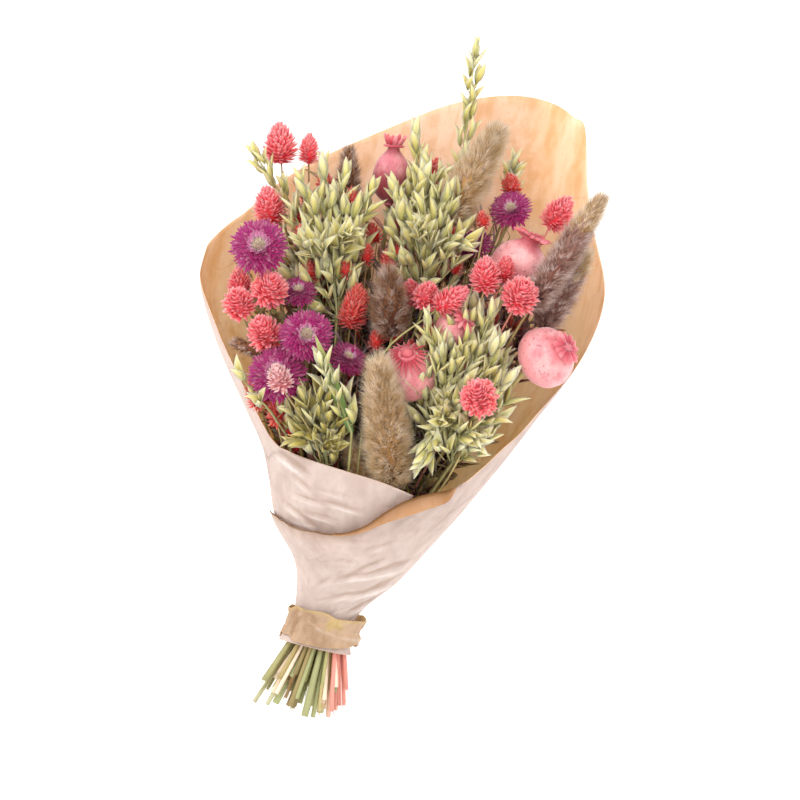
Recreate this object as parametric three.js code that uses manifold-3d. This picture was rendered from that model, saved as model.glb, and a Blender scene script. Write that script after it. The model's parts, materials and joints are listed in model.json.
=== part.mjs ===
// A bunch of dried flowers and grasses in a cone of kraft paper, lying on its back.
// Millimetres, +Z up. +Y runs along the bunch from the cut stems to the flowers. The open front faces +Z.
// The origin is on the surface that the bunch lies on, under the middle of its box.
import * as THREE from "three";
import { mergeVertices } from "three/addons/utils/BufferGeometryUtils.js";
import Module from "manifold-3d";

const wasm = await Module();
wasm.setup();

// Driving dimensions of the bunch
const LEAN = THREE.MathUtils.degToRad(13); // the bunch leans this far to the right in the front view
const NECK_HEIGHT = 23.5; // the middle of the neck above the surface
const NECK_HALF_WIDTH = 16.5; // the stems fill this oval at the tie
const NECK_HALF_HEIGHT = 14;
const TAIL_REACH = 60; // this far below the tie
const TAIL_SPREAD = 2.46; // the stems stand this much wider than at the tie
const TAIL_SPREAD_UP = 1.7;
const TAIL_LEAN = -3; // and lean this far to the left
const TAIL_LENGTHS = [58, 47, 54, 41, 60, 50, 37]; // cut ends below the tie, taken in turn
const STEM_GAP = 0.5; // least space between two stems
const SINK = 4; // how far a stem runs into what grows on it
const FIT = 0.3; // space between pieces that touch

// Driving dimensions of the paper
const PAPER = 0.8;
const LAP_GAP = 2.4; // from the inner lap's face to the outer lap's
const LAP_BULGE = 5; // how far the outer lap stands off further up
const LAP_BULGE_UP = [20, 60]; // it grows from nothing to full between these heights along the bunch
const LAP_BULGE_ENDS = [385, 430]; // and dies away between these angles
const LAP_OVER = [285, 322]; // the sheet passes over its own start between these angles
const ROLL_RADIUS = 3.4; // the outer lap's top edge rolls outwards and folds back
const ROLL_TURN = THREE.MathUtils.degToRad(122);
const ROLL_GROWS = [311, 322]; // the roll grows to full between these angles
const ROLL_FADES = [400, 445]; // and flattens by ROLL_FADE between these
const ROLL_FADE = 0.7;
const PAPER_AROUND = 41; // steps round the sheet
const PAPER_UP = 9; // rows from its foot to its top edge
const ROLL_FROM = 5 / 9; // share of the rows below the roll
const LAPEL_FROM = 8 / 9; // and below the folded part
const ROWS_GATHER = [250, 305]; // the other rows gather in the top edge between these angles, before the roll
const GATHERED = 6; // this far below it
const ROW_GROWTH = 1.7; // rows lie closer together at the neck
const WRAP_START = -28; // degrees round the bunch from the front, to the left
const WRAP_END = 450;
const WRAP_BOTTOM = -14; // along the bunch from the middle of the tie

// Driving dimensions of the tie
const TIE_THICKNESS = 1;
const TIE_CLEARANCE = 1.5; // from the outer lap
const TIE_RISE = 2.2; // how far the last turn lies outside the first
const TIE_HALF_WIDTH = 11;
const TIE_START = -45; // degrees round from the front
const TIE_END = 400;
const TIE_AROUND = 29; // steps round the strip
const TIE_SLANT = -2; // its left side stands this much lower than its middle
const TIE_FLARE = 1.6; // its upper edge stands off this much further
const TAB_AT = 312; // the folded tab stands out here
const TAB_REACH = 2.5;
const TAB_SPREAD = 20; // degrees

// The paper's sections: [along, half width, half height, height of the middle, middle to the right]
const SECTIONS = [
  [-20, 25.5, 19.5, 24, -1.5],
  [0, 18.5, 16, 23.5, -1],
  [16, 20.5, 18.5, 24.5, 1],
  [41, 33.5, 31, 34.5, 7],
  [64, 50, 42, 41, 4],
  [92, 63.5, 52, 49, 6],
  [110, 72, 57, 53, 6.5],
  [131, 85, 62, 58, 4],
  [175, 111, 74, 68, -2],
  [215, 129, 84, 77, -3],
  [258, 132, 92, 84, 1],
  [317, 121, 96, 86, 1],
  [390, 118, 96, 84, 2],
];

// The paper's top edge: [degrees round from the front, along]
const RIM = [
  [-28, 102],
  [-8, 106],
  [14, 108],
  [36, 110],
  [50, 112],
  [64, 114],
  [70, 122],
  [74, 140],
  [77, 165],
  [80, 190],
  [85, 205],
  [90, 217],
  [100, 232],
  [107, 241],
  [114, 251],
  [121, 262],
  [128, 280],
  [139, 302],
  [162, 337],
  [182, 365],
  [196, 377],
  [207, 381],
  [218, 379],
  [226, 373],
  [232, 368],
  [240, 330],
  [250, 290],
  [262, 257],
  [270, 226],
  [278, 190],
  [285, 160],
  [294, 145],
  [302, 130],
  [309, 119],
  [317, 113],
  [325, 109],
  [333, 104],
  [345, 91],
  [353, 78],
  [365, 69],
  [384, 64.5],
  [402, 64],
  [420, 66.5],
  [450, 70],
];

// How much of the outer lap's top edge is folded back: [degrees round, depth of the fold]
const LAPEL = [
  [300, 0],
  [310, 1],
  [320, 9],
  [328, 15],
  [336, 17],
  [344, 14],
  [352, 4],
  [360, 1],
  [385, 1],
  [402, 2.6],
  [425, 4.5],
  [450, 3],
];

// Finishes
const finish = (color) =>
  new THREE.MeshStandardMaterial({ color, roughness: 0.9, metalness: 0 });
const KRAFT = finish(0xd9b184);
const TIE_PAPER = finish(0xd3ad84);
const CORAL = finish(0xe0606a);
const RED = finish(0xc53a38);
const PALE = finish(0xf0a8a6);
const PINK = finish(0xd9848f);
const MAGENTA = finish(0x9c2a78);
const BEIGE = finish(0xb59a78);
const BROWN = finish(0x6f5240);
const MAUVE = finish(0x86706a);
const OAT_GREEN = finish(0xa9ad78);

// The flowers, in the front view from the middle of the tie: [name, across, up, height above the surface,
// turn to the right, tilt to the front, length, width, finish where it differs from its kind's]
const CANARY_GRASS = [
  ["canary_grass_01", -28, 324, 62, -3, 10, 29, 21],
  ["canary_grass_02", -9, 321, 52, 2, 10, 22, 15],
  ["canary_grass_03", -35, 282, 76, -8, 25, 28, 20],
  ["canary_grass_04", -54, 217, 110, -15, 50, 22, 19],
  ["canary_grass_05", -54, 231, 84, -5, 25, 22, 16],
  ["canary_grass_06", -33, 226, 112, 20, 55, 24, 22],
  ["canary_grass_07", -37, 198, 114, -20, 45, 24, 21],
  ["canary_grass_08", 22, 216, 92, 12, 8, 34, 18, RED],
  ["canary_grass_09", -26, 168, 147, -15, 35, 19, 16, PALE],
  ["canary_grass_10", 59, 224, 96, -10, 40, 22, 15],
  ["canary_grass_11", 69, 222, 112, 10, 50, 20, 17],
  ["canary_grass_12", 86, 219, 122, 55, 8, 27, 17],
  ["canary_grass_13", 107, 235, 122, 5, 30, 25, 19],
  ["canary_grass_14", 130, 222, 122, 25, 50, 26, 22],
  ["canary_grass_15", 120, 239, 107, 12, 30, 20, 15],
  ["canary_grass_16", 102, 156, 140, -10, 60, 25, 22],
  ["canary_grass_17", 157, 277, 78, 35, 25, 27, 19],
  ["canary_grass_18", 130, 310, 50, 0, 5, 14, 7, RED],
  ["canary_grass_19", 125, 296, 62, -5, 35, 18, 14, RED],
  ["canary_grass_20", 106, 272, 86, -10, 40, 14, 11, RED],
  ["canary_grass_21", 73, 305, 58, 25, 12, 26, 13, RED],
  ["canary_grass_22", 2, 294, 60, 5, 25, 16, 12, RED],
  ["canary_grass_23", -11, 289, 56, -10, 25, 16, 11, RED],
  ["canary_grass_24", 70, 199, 100, 5, 25, 20, 12, RED],
  ["canary_grass_25", 62, 290, 46, 5, 15, 20, 12, RED],
  ["canary_grass_26", -42, 160, 86, -10, 25, 28, 17, RED],
  ["canary_grass_27", -26, 148, 92, 15, 30, 26, 17, RED],
  ["canary_grass_28", 4, 152, 112, 10, 45, 16, 13, RED],
];
const POPPIES = [
  ["poppy_1", 46, 304, 66, 5, 8, 42, 25],
  ["poppy_2", 131, 244, 82, 25, 12, 42, 38],
  ["poppy_3", 149, 182, 112, 65, 42, 38, 40],
  ["poppy_4", 57, 173, 108, -5, 52, 42, 38],
  ["poppy_5", 88, 201, 112, 50, 40, 26, 24],
];
const STRAWFLOWERS = [
  ["strawflower_1", -40, 253, 116, -10, 72, 15, 39],
  ["strawflower_2", -9, 195, 128, 20, 75, 15, 36],
  ["strawflower_3", -28, 170, 122, -20, 66, 15, 40],
  ["strawflower_4", 125, 279, 72, 20, 35, 13, 29],
  ["strawflower_5", 17, 180, 106, 30, 45, 12, 28],
  ["strawflower_6", -15, 224, 96, 0, 50, 12, 26],
  ["strawflower_7", 101, 256, 68, -10, 45, 12, 26],
];
const PLUMES = [
  ["plume_1", 17, 298, 60, 2, 8, 50, 20, BROWN],
  ["plume_2", 100, 302, 84, 30, 14, 78, 31],
  ["plume_3", 161, 251, 115, 33, 12, 98, 24, MAUVE],
  ["plume_4", 160, 226, 86, 30, 10, 66, 24, MAUVE],
  ["plume_5", 45, 217, 112, -3, 30, 52, 27, BROWN],
  ["plume_6", 42, 140, 120, -6, 34, 108, 34],
  ["plume_7", 25, 110, 79, -25, 30, 48, 22],
  ["plume_8", -46, 187, 92, -70, 10, 30, 14, BROWN],
];
// Oats: where the stem forks, then the tip of each branch with the number of its spikelets
const OATS = [
  { name: "oat_1", fork: [88, 275, 50], tips: [[101, 380, 52, 12]] },
  { name: "oat_2", fork: [-15, 269, 66], tips: [[-43, 313, 74, 7]] },
  {
    name: "oat_3",
    fork: [10, 209, 84],
    tips: [
      [2, 303, 78, 4],
      [-12, 292, 88, 3],
      [15, 295, 84, 3],
      [30, 285, 88, 4],
      [-10, 254, 114, 4],
      [16, 260, 116, 4],
    ],
  },
  {
    name: "oat_4",
    fork: [68, 224, 80],
    tips: [
      [68, 293, 88, 4],
      [53, 323, 74, 4],
      [50, 287, 92, 3],
      [82, 284, 94, 4],
      [91, 254, 106, 3],
      [64, 264, 114, 4],
    ],
  },
  {
    name: "oat_5",
    fork: [86, 112, 90],
    tips: [
      [82, 190, 136, 4],
      [70, 199, 130, 3],
      [104, 206, 130, 4],
      [117, 186, 128, 3],
      [124, 162, 120, 3],
      [117, 139, 114, 3],
      [98, 128, 120, 3],
      [78, 142, 130, 3],
      [68, 118, 114, 3],
    ],
  },
  {
    name: "oat_6",
    fork: [20, 132, 112],
    tips: [[2, 173, 140, 4]],
    leaf: [-3, 195, 152],
  },
  {
    name: "oat_7",
    fork: [4, 106, 88],
    tips: [
      [0, 158, 126, 4],
      [-14, 154, 124, 3],
      [-31, 146, 118, 3],
      [5, 148, 120, 3],
      [6, 124, 110, 3],
      [-16, 127, 114, 3],
    ],
  },
  {
    name: "oat_8",
    fork: [-22, 128, 84],
    tips: [
      [-52, 166, 134, 2],
      [-48, 154, 130, 3],
    ],
  },
  { name: "oat_9", fork: [122, 278, 52], tips: [[127, 306, 54, 4]] },
];
const SPIKELET_LENGTH = 21;
const SPIKELET_WIDTH = 4.6;
const SPIKELET_SPREAD = THREE.MathUtils.degToRad(24); // from its branch
const LEAF_WIDTH = 8;
const LEAF_THICKNESS = 0.8;

// Shared helpers

// A smooth curve through a table's rows: each row starts with its place, and column is what is read.
function along(rows, place, column = 1) {
  let i = rows.findIndex((row) => row[0] > place);
  if (i < 0) i = rows.length - 1;
  i = Math.max(1, i);
  const [a, b] = [rows[i - 1], rows[i]];
  const slope = (p, q) => (q[column] - p[column]) / (q[0] - p[0]);
  const own = slope(a, b);
  const start = i > 1 ? (slope(rows[i - 2], a) + own) / 2 : own;
  const end = i < rows.length - 1 ? (own + slope(b, rows[i + 1])) / 2 : own;
  const width = b[0] - a[0];
  const t = THREE.MathUtils.clamp((place - a[0]) / width, 0, 1);
  return (
    a[column] * (1 + 2 * t) * (1 - t) ** 2 +
    b[column] * t * t * (3 - 2 * t) +
    width * t * (1 - t) * (start * (1 - t) - end * t)
  );
}

const smooth = ([low, high], value) =>
  THREE.MathUtils.smoothstep(value, low, high);
const radians = THREE.MathUtils.degToRad;

// A three.js geometry as a manifold-3d solid.
function solid(geometry) {
  const bare = new THREE.BufferGeometry();
  bare.setAttribute("position", geometry.getAttribute("position"));
  bare.setIndex(geometry.index);
  const merged = mergeVertices(bare, 1e-4);
  const faces = [];
  for (let i = 0; i < merged.index.count; i += 3) {
    const [a, b, c] = [0, 1, 2].map((k) => merged.index.getX(i + k));
    if (a !== b && b !== c && c !== a) faces.push(a, b, c);
  }
  const mesh = (list) =>
    new wasm.Manifold(
      new wasm.Mesh({
        numProp: 3,
        vertProperties: new Float32Array(merged.attributes.position.array),
        triVerts: new Uint32Array(list),
      }),
    );
  const made = mesh(faces);
  return made.volume() > 0 ? made : mesh(faces.reverse());
}

// The same solid as a three.js geometry again, flat-shaded.
function geometryOf(body) {
  const mesh = body.getMesh();
  const position = new Float32Array(mesh.numVert * 3);
  for (let i = 0; i < mesh.numVert; i++)
    position.set(
      mesh.vertProperties.subarray(i * mesh.numProp, i * mesh.numProp + 3),
      i * 3,
    );
  const geometry = new THREE.BufferGeometry()
    .setAttribute("position", new THREE.BufferAttribute(position, 3))
    .setIndex(new THREE.BufferAttribute(new Uint32Array(mesh.triVerts), 1));
  geometry.computeVertexNormals();
  return geometry;
}

// A closed rod through points, with its radius at each point.
function rod(points, radii, sides) {
  const rows = points.length - 1;
  const geometry = new THREE.CylinderGeometry(1, 1, rows, sides, rows);
  const position = geometry.getAttribute("position");
  const frames = [];
  let side = new THREE.Vector3(1, 0, 0);
  for (let j = 0; j <= rows; j++) {
    const ahead = points[Math.min(j + 1, rows)]
      .clone()
      .sub(points[Math.max(j - 1, 0)])
      .normalize();
    side = side.clone().addScaledVector(ahead, -side.dot(ahead)).normalize();
    frames.push([side, ahead.clone().cross(side)]);
  }
  for (let k = 0; k < position.count; k++) {
    const j = Math.round(position.getY(k) + rows / 2);
    const [u, v] = frames[j];
    const place = points[j]
      .clone()
      .addScaledVector(u, position.getX(k) * radii[j])
      .addScaledVector(v, position.getZ(k) * radii[j]);
    position.setXYZ(k, place.x, place.y, place.z);
  }
  return solid(geometry);
}

// A turned body on the Y axis. move() gives each corner's radius, height and turn, in steps round.
function turned(profile, sides, move) {
  const points = profile.map(([r, y]) => new THREE.Vector2(r, y));
  const geometry = new THREE.LatheGeometry(points, sides);
  const position = geometry.getAttribute("position");
  for (let k = 0; k < position.count; k++) {
    const i = Math.floor(k / points.length) % sides;
    const j = k % points.length;
    const [radius, height, turn] = move(i, j, ...profile[j]);
    const angle = ((i + turn) * 2 * Math.PI) / sides;
    position.setXYZ(
      k,
      radius * Math.sin(angle),
      height,
      radius * Math.cos(angle),
    );
  }
  return geometry;
}

// Turns a body grown along +Y to grow along a direction from a root.
function planted(geometry, root, direction, roll = 0) {
  const turn = new THREE.Quaternion().setFromUnitVectors(
    new THREE.Vector3(0, 1, 0),
    direction,
  );
  return geometry
    .clone()
    .rotateY(roll)
    .applyQuaternion(turn)
    .translate(root.x, root.y, root.z);
}

// A place and a direction read off the front view, turned so that the bunch runs along +Y.
const place = (across, up, height) =>
  new THREE.Vector3(across, up, height).applyAxisAngle(
    new THREE.Vector3(0, 0, 1),
    LEAN,
  );
const heading = (turn, tilt) =>
  place(
    Math.sin(radians(turn)) * Math.cos(radians(tilt)),
    Math.cos(radians(turn)) * Math.cos(radians(tilt)),
    Math.sin(radians(tilt)),
  );

// The paper wrap

// How far the paper stands out from its section: the outer lap clears the inner one.
function lapOffset(angle, y) {
  const bulge = smooth(LAP_BULGE_UP, y) * (1 - smooth(LAP_BULGE_ENDS, angle));
  return smooth(LAP_OVER, angle) * (LAP_GAP + LAP_BULGE * bulge);
}

// A point of the section at y, angle degrees round from the front to the left, moved out by offset.
function sectionPoint(y, angle, offset) {
  const a = radians(angle);
  const width = along(SECTIONS, y, 1) + offset;
  const height = along(SECTIONS, y, 2) + offset;
  return new THREE.Vector3(
    along(SECTIONS, y, 4) - width * Math.sin(a),
    y,
    along(SECTIONS, y, 3) + height * Math.cos(a),
  );
}

// A point of the sheet: angle round, and row 0 at its foot to 1 at its top edge.
function sheetPoint(angle, row) {
  const top = along(RIM, angle);
  const faded = ROLL_FADE * smooth(ROLL_FADES, angle);
  const rolled = smooth(ROLL_GROWS, angle) * (1 - faded);
  const radius = ROLL_RADIUS * rolled;
  const gathered = smooth(ROWS_GATHER, angle);
  const start = top - (rolled > 0 ? radius : GATHERED * gathered);
  const from = 1 - (1 - ROLL_FROM) * gathered;
  if (row <= from || rolled === 0) {
    const share = Math.min(row / from, 1) ** ROW_GROWTH;
    const above = row > from ? (row - from) / (1 - from) : 0;
    const y = WRAP_BOTTOM + (start - WRAP_BOTTOM) * share + (top - start) * above;
    return sectionPoint(y, angle, lapOffset(angle, y));
  }
  // The roll turns from the sheet's own slope, out and back towards the foot, in the plane through the axis
  const below = sectionPoint(start - 1, angle, lapOffset(angle, start - 1));
  const point = sectionPoint(start, angle, lapOffset(angle, start));
  const ahead = point.clone().sub(below).normalize();
  const a = radians(angle);
  const outward = new THREE.Vector3(-Math.sin(a), 0, Math.cos(a));
  outward.addScaledVector(ahead, -outward.dot(ahead)).normalize();
  const turn = ROLL_TURN * Math.min((row - from) / (LAPEL_FROM - from), 1);
  point
    .addScaledVector(ahead, radius * Math.sin(turn))
    .addScaledVector(outward, radius * (1 - Math.cos(turn)));
  const folded = Math.max((row - LAPEL_FROM) / (1 - LAPEL_FROM), 0);
  const depth = Math.max(along(LAPEL, angle), 0) * rolled * folded;
  return point
    .addScaledVector(ahead, depth * Math.cos(turn))
    .addScaledVector(outward, depth * Math.sin(turn));
}

// A sheet of the given thickness over pointAt(angle, row), resting on the surface where it reaches it.
function sheet(from, to, around, up, thickness, pointAt) {
  const geometry = new THREE.BoxGeometry(1, 1, 1, around, up, 1);
  const position = geometry.getAttribute("position");
  const step = 1e-3;
  for (let k = 0; k < position.count; k++) {
    const angle = from + (to - from) * (position.getX(k) + 0.5);
    const row = position.getY(k) + 0.5;
    const outer = position.getZ(k) < 0;
    const here = pointAt(angle, row);
    const inside = row > 0.5 ? -step : step;
    const round = pointAt(angle + step, row).sub(here);
    const on = pointAt(angle, row + inside).sub(here).divideScalar(inside);
    const out = on.cross(round).normalize();
    if (outer) here.addScaledVector(out, thickness);
    here.z = Math.max(here.z, outer ? 0 : thickness);
    position.setXYZ(k, here.x, here.y, here.z);
  }
  // Each cell's outer face is split along the same diagonal as its inner one, so they stay a wall apart
  const { array } = geometry.index;
  const { start, count } = geometry.groups[5];
  for (let k = start; k < start + count; k += 6) {
    const [a, b, , , c, d] = array.slice(k, k + 6);
    array.set([a, b, c, a, c, d], k);
  }
  return solid(geometry);
}

const wrap = sheet(
  WRAP_START,
  WRAP_END,
  PAPER_AROUND,
  PAPER_UP,
  PAPER,
  sheetPoint,
);

// The tie is a strip wound just over a turn, with a fold that stands out as a tab.
function tiePoint(angle, row) {
  const turnShare = (angle - TIE_START) / (TIE_END - TIE_START);
  const tab = TAB_REACH * Math.exp(-(((angle - TAB_AT) / TAB_SPREAD) ** 2));
  const flare = TIE_FLARE * smooth([0.5, 1], row);
  const clear = LAP_GAP + PAPER + TIE_CLEARANCE;
  const offset = clear + TIE_RISE * turnShare + tab + flare;
  const middle = TIE_SLANT * Math.sin(radians(angle));
  const y = middle + TIE_HALF_WIDTH * (2 * row - 1);
  return sectionPoint(y, angle, offset);
}
const tie = sheet(TIE_START, TIE_END, TIE_AROUND, 2, TIE_THICKNESS, tiePoint);

// What grows on the stems, each along +Y from its root at the origin

// A body whose surface rises in points set in staggered rows, as scales or bristles.
function scaled(sides, rows, length, girth, reach, rise) {
  const profile = [[0, 0]];
  for (let j = 0; j <= rows; j++) {
    const t = (j + 0.6) / (rows + 1.2);
    profile.push([girth(t), t * length]);
  }
  profile.push([0, length]);
  return turned(profile, sides, (i, j, r, y) => {
    const inside = j > 0 && j < profile.length - 1;
    const point = inside && (i + 2 * j) % 3 === 0;
    return [
      point ? r + reach : r,
      point ? Math.min(y + rise, length) : y,
      j / 2,
    ];
  });
}

// A canary grass head: egg-shaped, widest below the middle, covered with pointed scales.
function canaryHead(length, width) {
  const rows = Math.round(width / 5);
  const sides = rows > 3 ? 12 : 9;
  const core = width / 2 - 2;
  const girth = (t) => core * Math.sin(Math.PI * t ** 0.8) ** 0.62;
  return scaled(sides, rows, length, girth, width * 0.11, length * 0.1);
}

// A plume: a slim core that bristles all round, tapering to its tip.
function plume(length, width) {
  const core = width / 2 - width * 0.16;
  const girth = (t) => core * Math.sin(Math.PI * t ** 0.75) ** 0.5;
  const rows = Math.round(length / 12) + 1;
  const sides = width > 24 ? 12 : 9;
  return scaled(sides, rows, length, girth, width * 0.17, length / rows);
}

// A poppy pod: a round body, a short neck and a cap of rays.
const POPPY_RAYS = 8;
function poppyPod(length, width) {
  const r = width / 2;
  const cap = r * 0.5;
  const top = length - 4;
  const profile = [
    [0, 0],
    [r * 0.5, length * 0.08],
    [r * 0.95, length * 0.3],
    [r, length * 0.48],
    [r * 0.84, length * 0.68],
    [r * 0.4, length * 0.83],
    [r * 0.3, top - 1],
    [cap, top + 0.5],
    [cap * 1.04, top + 2.2],
    [0, length],
  ];
  return turned(profile, POPPY_RAYS * 2, (i, j, radius, y) => {
    const ray = j === 7 || j === 8;
    return [ray && i % 2 ? radius * 0.72 : radius, y, 0];
  });
}

// A strawflower: layers of stiff pointed bracts round a low disc, with a cup beneath.
function strawflower(depth, width) {
  const bracts = width > 30 ? 11 : 8;
  const r = width / 2;
  // [radius at the bracts' points, radius between them, height at the points, height between]
  const rows = [
    [0, 0, 0, 0],
    [r * 0.5, r * 0.5, depth * 0.3, depth * 0.3],
    [r, r * 0.72, depth * 0.56, depth * 0.52],
    [r * 0.5, r * 0.5, depth * 0.6, depth * 0.6],
    [r * 0.68, r * 0.8, depth * 0.72, depth * 0.94],
    [r * 0.34, r * 0.34, depth * 0.72, depth * 0.72],
    [r * 0.54, r * 0.42, depth * 1.06, depth * 0.9],
    [r * 0.26, r * 0.26, depth * 0.84, depth * 0.84],
    [0, 0, depth * 0.92, depth * 0.92],
  ];
  const profile = rows.map(([radius, , y]) => [radius, y]);
  return turned(profile, bracts * 2, (i, j) => {
    const [pointed, between, high, low] = rows[j];
    return i % 2 ? [between, low, 0] : [pointed, high, 0];
  });
}

// An oat spikelet: two pointed husks that open from one root, with a notch between them.
function spikelet() {
  const notch = SPIKELET_LENGTH * 0.55;
  const profile = [
    [0, 0],
    [SPIKELET_WIDTH / 2, SPIKELET_LENGTH * 0.42],
    [SPIKELET_WIDTH * 0.7, SPIKELET_LENGTH],
    [0, notch],
  ];
  return turned(profile, 4, (i, j, r, y) => {
    const flat = i % 2 === 1;
    if (j === 2 && flat) return [0, notch, 0];
    return [j === 1 && flat ? r * 0.62 : r, y, 0];
  });
}

// A long narrow leaf from root to tip, arched and pointed.
function leafBlade(root, tip) {
  const rows = 8;
  const geometry = new THREE.BoxGeometry(1, rows, 1, 1, rows, 1);
  const position = geometry.getAttribute("position");
  const run = tip.clone().sub(root);
  const side = new THREE.Vector3(0, 0, 1).cross(run).normalize();
  const up = run.clone().cross(side).normalize();
  for (let k = 0; k < position.count; k++) {
    const t = position.getY(k) / rows + 0.5;
    const width = LEAF_WIDTH * Math.sin(Math.PI * (0.12 + 0.83 * t)) ** 0.8;
    const arch = 10 * t * (1 - t);
    const at = root
      .clone()
      .addScaledVector(run, t)
      .addScaledVector(side, position.getX(k) * width)
      .addScaledVector(up, arch + position.getZ(k) * LEAF_THICKNESS);
    position.setXYZ(k, at.x, at.y, at.z);
  }
  return solid(geometry);
}

// The stems' routes: each is a chain of points from its cut end through the tie to what grows on it

const canary = { grow: canaryHead, radius: 1.1, sides: 3, finish: CORAL };
const poppy = { grow: poppyPod, radius: 1.9, sides: 4, finish: PINK };
const straw = { grow: strawflower, radius: 1.4, sides: 4, finish: MAGENTA };
const foxtail = { grow: plume, radius: 1.4, sides: 4, finish: BEIGE };
const KINDS = [
  { ...canary, rows: CANARY_GRASS },
  { ...poppy, rows: POPPIES },
  { ...straw, rows: STRAWFLOWERS },
  { ...foxtail, rows: PLUMES },
];
const OAT_RADIUS = 1.7;
const BRANCH_RADIUS = 1.1;
const STRAIGHT = 13; // a stem is straight this far below what grows on it
const BENDS = [0.09, 0.4, 0.74]; // where a stem's curve from tie to head is bent, as shares
const SLOT_SCALE = 28; // from a stem's slope to its first slot at the tie
const SLOT_ROUNDS = 400;
const SETTLE_ROUNDS = 120;
const STEM_PUSH = 0.6; // the share of an overlap that is mended in one round
const HEAD_PUSH = 0.5;
const EASE = 0.03; // how much a bend is straightened in one round
const PAPER_TESTS = [0.3, 0.65, 1]; // places of a segment that are kept inside the paper
const PAPER_MARGIN = [1.4, 2.5]; // from a stem to the paper at the neck, and further up
const NECK_TOP = 30; // the neck ends here
const RIM_REACH = 5; // stems are kept inside the paper this far past its edge

const strands = [];
const heads = [];
for (const kind of KINDS)
  for (const row of kind.rows) {
    const [name, across, up, high, turn, tilt, length, width] = row;
    const material = row[8] ?? kind.finish;
    const direction = heading(turn, tilt);
    const root = place(across, up, high);
    root.addScaledVector(direction, -length / 2);
    const { radius } = kind;
    strands.push({ name, kind, material, root, direction, radius });
    const inset = Math.min(width, length) / 2;
    const far = Math.max(length - inset, inset);
    heads.push({
      name,
      from: root.clone().addScaledVector(direction, inset),
      to: root.clone().addScaledVector(direction, far),
      radius: width / 2,
      length,
      width,
    });
  }
for (const oat of OATS) {
  const root = place(...oat.fork);
  const [across, up, high] = oat.tips[0];
  const direction = place(across, up, high)
    .sub(root)
    .normalize()
    .add(new THREE.Vector3(0, 1, 0))
    .normalize();
  oat.branches = oatBranches(oat, root, direction);
  strands.push({ name: oat.name, oat, root, direction, radius: OAT_RADIUS });
}

// The routes of an oat's branches: the first runs on from the stem, and the others leave it in turn.
function oatBranches({ tips }, root, direction) {
  let main;
  return tips.map(([across, up, high], b) => {
    const tip = place(across, up, high);
    const from = b ? main.getPoint(0.06 + (0.4 * b) / tips.length) : root;
    const reach = from.distanceTo(tip);
    const middle = from
      .clone()
      .lerp(tip, 0.45)
      .addScaledVector(direction, reach * 0.08);
    const curve = new THREE.QuadraticBezierCurve3(from, middle, tip);
    main = main ?? curve;
    return curve.getPoints(reach > 80 ? 5 : 3);
  });
}

// How far a stem at a slot stands out of the oval that the stems fill at the tie, or 1 if it is inside.
function outOfNeck(slot, { radius }) {
  const [x, y] = [NECK_HALF_WIDTH - radius, NECK_HALF_HEIGHT - radius];
  return Math.max(1, Math.hypot(slot.x / x, slot.y / y));
}

// Each stem's slot at the tie: where its straight line would cross, spread until the stems stand apart.
function slotsAtTie() {
  const slope = strands.map(
    ({ root }) =>
      new THREE.Vector2(root.x / root.y, (root.z - NECK_HEIGHT) / root.y),
  );
  const middle = slope
    .reduce((sum, s) => sum.add(s), new THREE.Vector2())
    .divideScalar(slope.length);
  const slots = slope.map((s) => s.clone().sub(middle).multiplyScalar(SLOT_SCALE));
  for (let round = 0; round < SLOT_ROUNDS; round++) {
    slots.forEach((a, i) =>
      slots.forEach((b, j) => {
        if (j <= i) return;
        const apart = a.clone().sub(b);
        const least = strands[i].radius + strands[j].radius + STEM_GAP;
        const short = least - apart.length();
        if (short <= 0) return;
        apart.setLength(short * 0.3);
        a.add(apart);
        b.sub(apart);
      }),
    );
    slots.forEach((slot, i) => slot.divideScalar(outOfNeck(slot, strands[i])));
  }
  return slots;
}

// The nearest points of two segments, as shares of each.
function nearest(p, q, r, s) {
  const d1 = q.clone().sub(p);
  const d2 = s.clone().sub(r);
  const w = p.clone().sub(r);
  const [a, e, f] = [d1.dot(d1), d2.dot(d2), d2.dot(w)];
  const [b, c] = [d1.dot(d2), d1.dot(w)];
  const clamp = (x) => THREE.MathUtils.clamp(x, 0, 1);
  if (e < 1e-9) return [clamp(-c / a), 0];
  const flat = a * e - b * b;
  let t = flat > 1e-9 ? clamp((b * f - c * e) / flat) : 0.5;
  let u = (b * t + f) / e;
  if (u < 0 || u > 1) {
    u = clamp(u);
    t = clamp((b * u - c) / a);
  }
  return [t, u];
}

// A stem's cut end: the stems spread again below the tie.
function cutEnd({ tail, radius }, slot) {
  const share = tail / TAIL_REACH;
  const high = slot.z - NECK_HEIGHT;
  const z = slot.z + high * (TAIL_SPREAD_UP - 1) * share;
  return new THREE.Vector3(
    slot.x + (slot.x * (TAIL_SPREAD - 1) + TAIL_LEAN) * share,
    -tail,
    Math.max(z, radius + 2 * FIT),
  );
}

// Lays each stem from its slot to its root in a smooth line.
function firstRoutes() {
  const slots = slotsAtTie();
  strands.forEach((strand, i) => {
    const slot = new THREE.Vector3(slots[i].x, 0, NECK_HEIGHT + slots[i].y);
    strand.tail = TAIL_LENGTHS[i % TAIL_LENGTHS.length];
    const { root, direction } = strand;
    const before = root.clone().addScaledVector(direction, -STRAIGHT);
    const reach = before.distanceTo(slot) / 3;
    const curve = new THREE.CubicBezierCurve3(
      slot,
      slot
        .clone()
        .addScaledVector(before.clone().sub(slot).normalize(), reach),
      before.clone().addScaledVector(direction, -reach),
      before,
    );
    const sunk = strand.oat ? 0 : SINK;
    strand.points = [
      cutEnd(strand, slot),
      slot,
      ...BENDS.map((t) => curve.getPoint(t)),
      before,
      root.clone().addScaledVector(direction, sunk),
    ];
    strand.held = [true, false, false, false, false, false, true];
  });
}

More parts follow.
